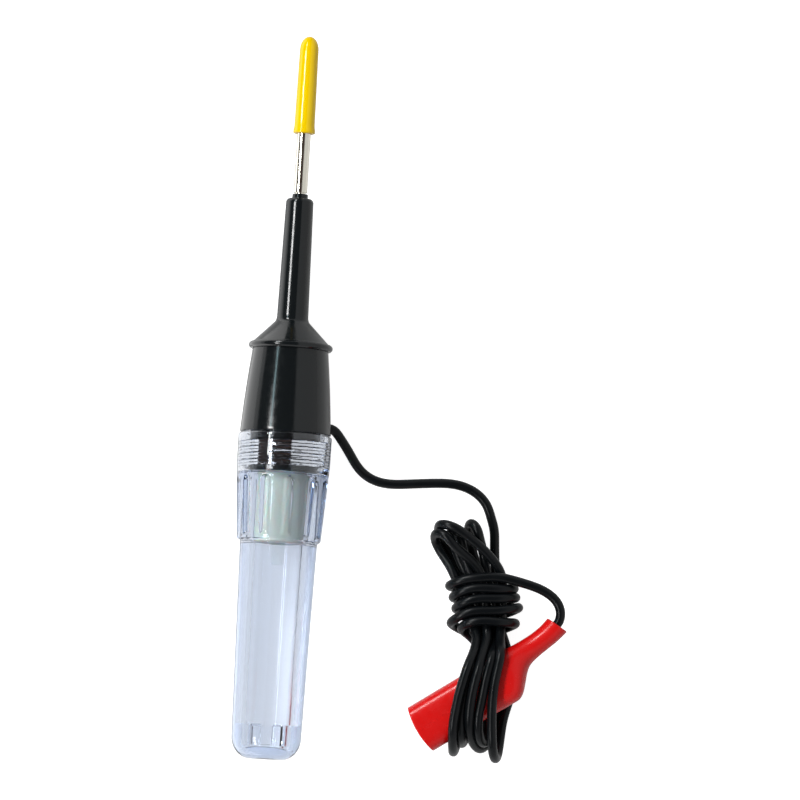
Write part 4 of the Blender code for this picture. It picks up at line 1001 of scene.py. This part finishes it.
def stage_plane(name, corners, material):
    mesh = bpy.data.meshes.new(name)
    mesh.from_pydata(corners, [], [(0, 1, 2, 3)])
    mesh.materials.append(material)
    plane = bpy.data.objects.new(name, mesh)
    scene.collection.objects.link(plane)
    return plane


def matt(name, grey):
    """A matt grey material and its shader."""
    material = bpy.data.materials.new(name)
    material.use_nodes = True
    shader = material.node_tree.nodes["Principled BSDF"]
    shader.inputs["Base Color"].default_value = (grey, grey, grey, 1.0)
    shader.inputs["Roughness"].default_value = 1.0
    shader.inputs["Specular IOR Level"].default_value = 0.0
    return material, shader


def make_floor():
    """Pale paper that keeps the shadow, burnt out to white for the camera."""
    material, shader = matt("floor_paper", FLOOR_GREY)
    tree = material.node_tree
    paths = tree.nodes.new("ShaderNodeLightPath")
    total = None
    for ray, level in FLOOR_LEVELS:
        part = tree.nodes.new("ShaderNodeMath")
        part.operation = "MULTIPLY_ADD"
        part.inputs[1].default_value = level
        part.inputs[2].default_value = 0.0
        tree.links.new(paths.outputs[ray], part.inputs[0])
        if total is not None:
            tree.links.new(total, part.inputs[2])
        total = part.outputs[0]
    emission = tree.nodes.new("ShaderNodeEmission")
    emission.inputs["Color"].default_value = (*WHITE, 1.0)
    tree.links.new(total, emission.inputs["Strength"])
    add = tree.nodes.new("ShaderNodeAddShader")
    tree.links.new(shader.outputs[0], add.inputs[0])
    tree.links.new(emission.outputs[0], add.inputs[1])
    tree.links.new(add.outputs[0], tree.nodes["Material Output"].inputs["Surface"])
    signs = [(-1, -1), (1, -1), (1, 1), (-1, 1)]
    stage_plane("floor", [(x * FLOOR_SIDE, y * FLOOR_SIDE, FLOOR_PLACE) for x, y in signs], material)


def worked(tree, operation, *values):
    """The result of a math node on these sockets."""
    made = tree.nodes.new("ShaderNodeMath")
    made.operation = operation
    for value, place in zip(values, made.inputs):
        tree.links.new(value, place)
    return made.outputs[0]


def share_of(tree, value, start, end):
    """How far a socket's value is from start to end, from 0 to 1."""
    made = tree.nodes.new("ShaderNodeMapRange")
    made.inputs["From Min"].default_value = start
    made.inputs["From Max"].default_value = end
    tree.links.new(value, made.inputs["Value"])
    return made.outputs["Result"]


def make_world():
    """A studio tunnel along the tester: white low on the left, dark overhead, pale on the right."""
    world = bpy.data.worlds.new("studio")
    scene.world = world
    world.use_nodes = True
    tree = world.node_tree
    background = tree.nodes["Background"]
    background.inputs["Strength"].default_value = 1.0
    place = tree.nodes.new("ShaderNodeTexCoord")
    parts = tree.nodes.new("ShaderNodeSeparateXYZ")
    tree.links.new(place.outputs["Generated"], parts.inputs[0])
    angle = worked(tree, "ARCTAN2", parts.outputs["X"], parts.outputs["Z"])
    ramp = tree.nodes.new("ShaderNodeValToRGB")
    elements = ramp.color_ramp.elements
    while len(elements) < len(TUNNEL_STOPS):
        elements.new(0.5)
    for element, (degrees, level) in zip(elements, TUNNEL_STOPS):
        element.position = (degrees + 180) / 360
        element.color = (*level, 1.0)
    tree.links.new(share_of(tree, angle, -math.pi, math.pi), ramp.inputs["Fac"])
    far = worked(tree, "ABSOLUTE", parts.outputs["Y"])
    tunnel = mixed(tree, share_of(tree, far, ENDS_FROM, ENDS_TO), ramp.outputs["Color"], TUNNEL_ENDS)
    paths = tree.nodes.new("ShaderNodeLightPath")
    bent = worked(tree, "MAXIMUM", paths.outputs["Is Glossy Ray"], paths.outputs["Is Transmission Ray"])
    lit = mixed(tree, bent, FILL, tunnel)
    tree.links.new(mixed(tree, paths.outputs["Is Camera Ray"], lit, WHITE), background.inputs["Color"])


def make_lights():
    """One long key over the left, in lengths along Y, each a lamp that sends its own radiance."""
    back = Vector((math.sin(KEY_ANGLE), 0.0, math.cos(KEY_ANGLE)))
    along = Vector((0, 1, 0))
    turn = Matrix((along.cross(back), along, back)).transposed().to_4x4()
    for number, (start, end, width, radiance, colour) in enumerate(KEY_LENGTHS):
        data = bpy.data.lights.new(f"key_{number}", "AREA")
        data.shape = "RECTANGLE"
        data.size = width
        data.size_y = end - start
        data.energy = radiance * math.pi * width * (end - start)
        data.color = colour
        lamp = bpy.data.objects.new(f"key_{number}", data)
        scene.collection.objects.link(lamp)
        middle = Vector((0.0, (start + end) / 2, KEY_AIM)) + KEY_REACH * back
        lamp.matrix_world = Matrix.Translation(middle) @ turn
        lamp.visible_camera = False


def card(name, corners, level):
    """A studio card that only glossy surfaces see, white where its level is above 0."""
    material, shader = matt(name, CARD_GREY)
    shader.inputs["Emission Color"].default_value = (*WHITE, 1.0)
    shader.inputs["Emission Strength"].default_value = level
    plane = stage_plane(name, corners, material)
    plane.visible_camera = False
    plane.visible_diffuse = False
    plane.visible_transmission = False
    plane.visible_shadow = False


def make_cards():
    left, right, place, top = -0.016, 0.012, 0.1, 0.05
    card("flag", [(left, place, 0.0), (right, place, 0.0), (right, place, top), (left, place, top)], 0.0)
    far, near, start, end = -0.6, -0.015, -0.4, 0.5
    card("bounce", [(far, start, 0.0), (near, start, 0.0), (near, end, 0.0), (far, end, 0.0)], BOUNCE_LEVEL)


make_floor()
make_world()
make_lights()
make_cards()
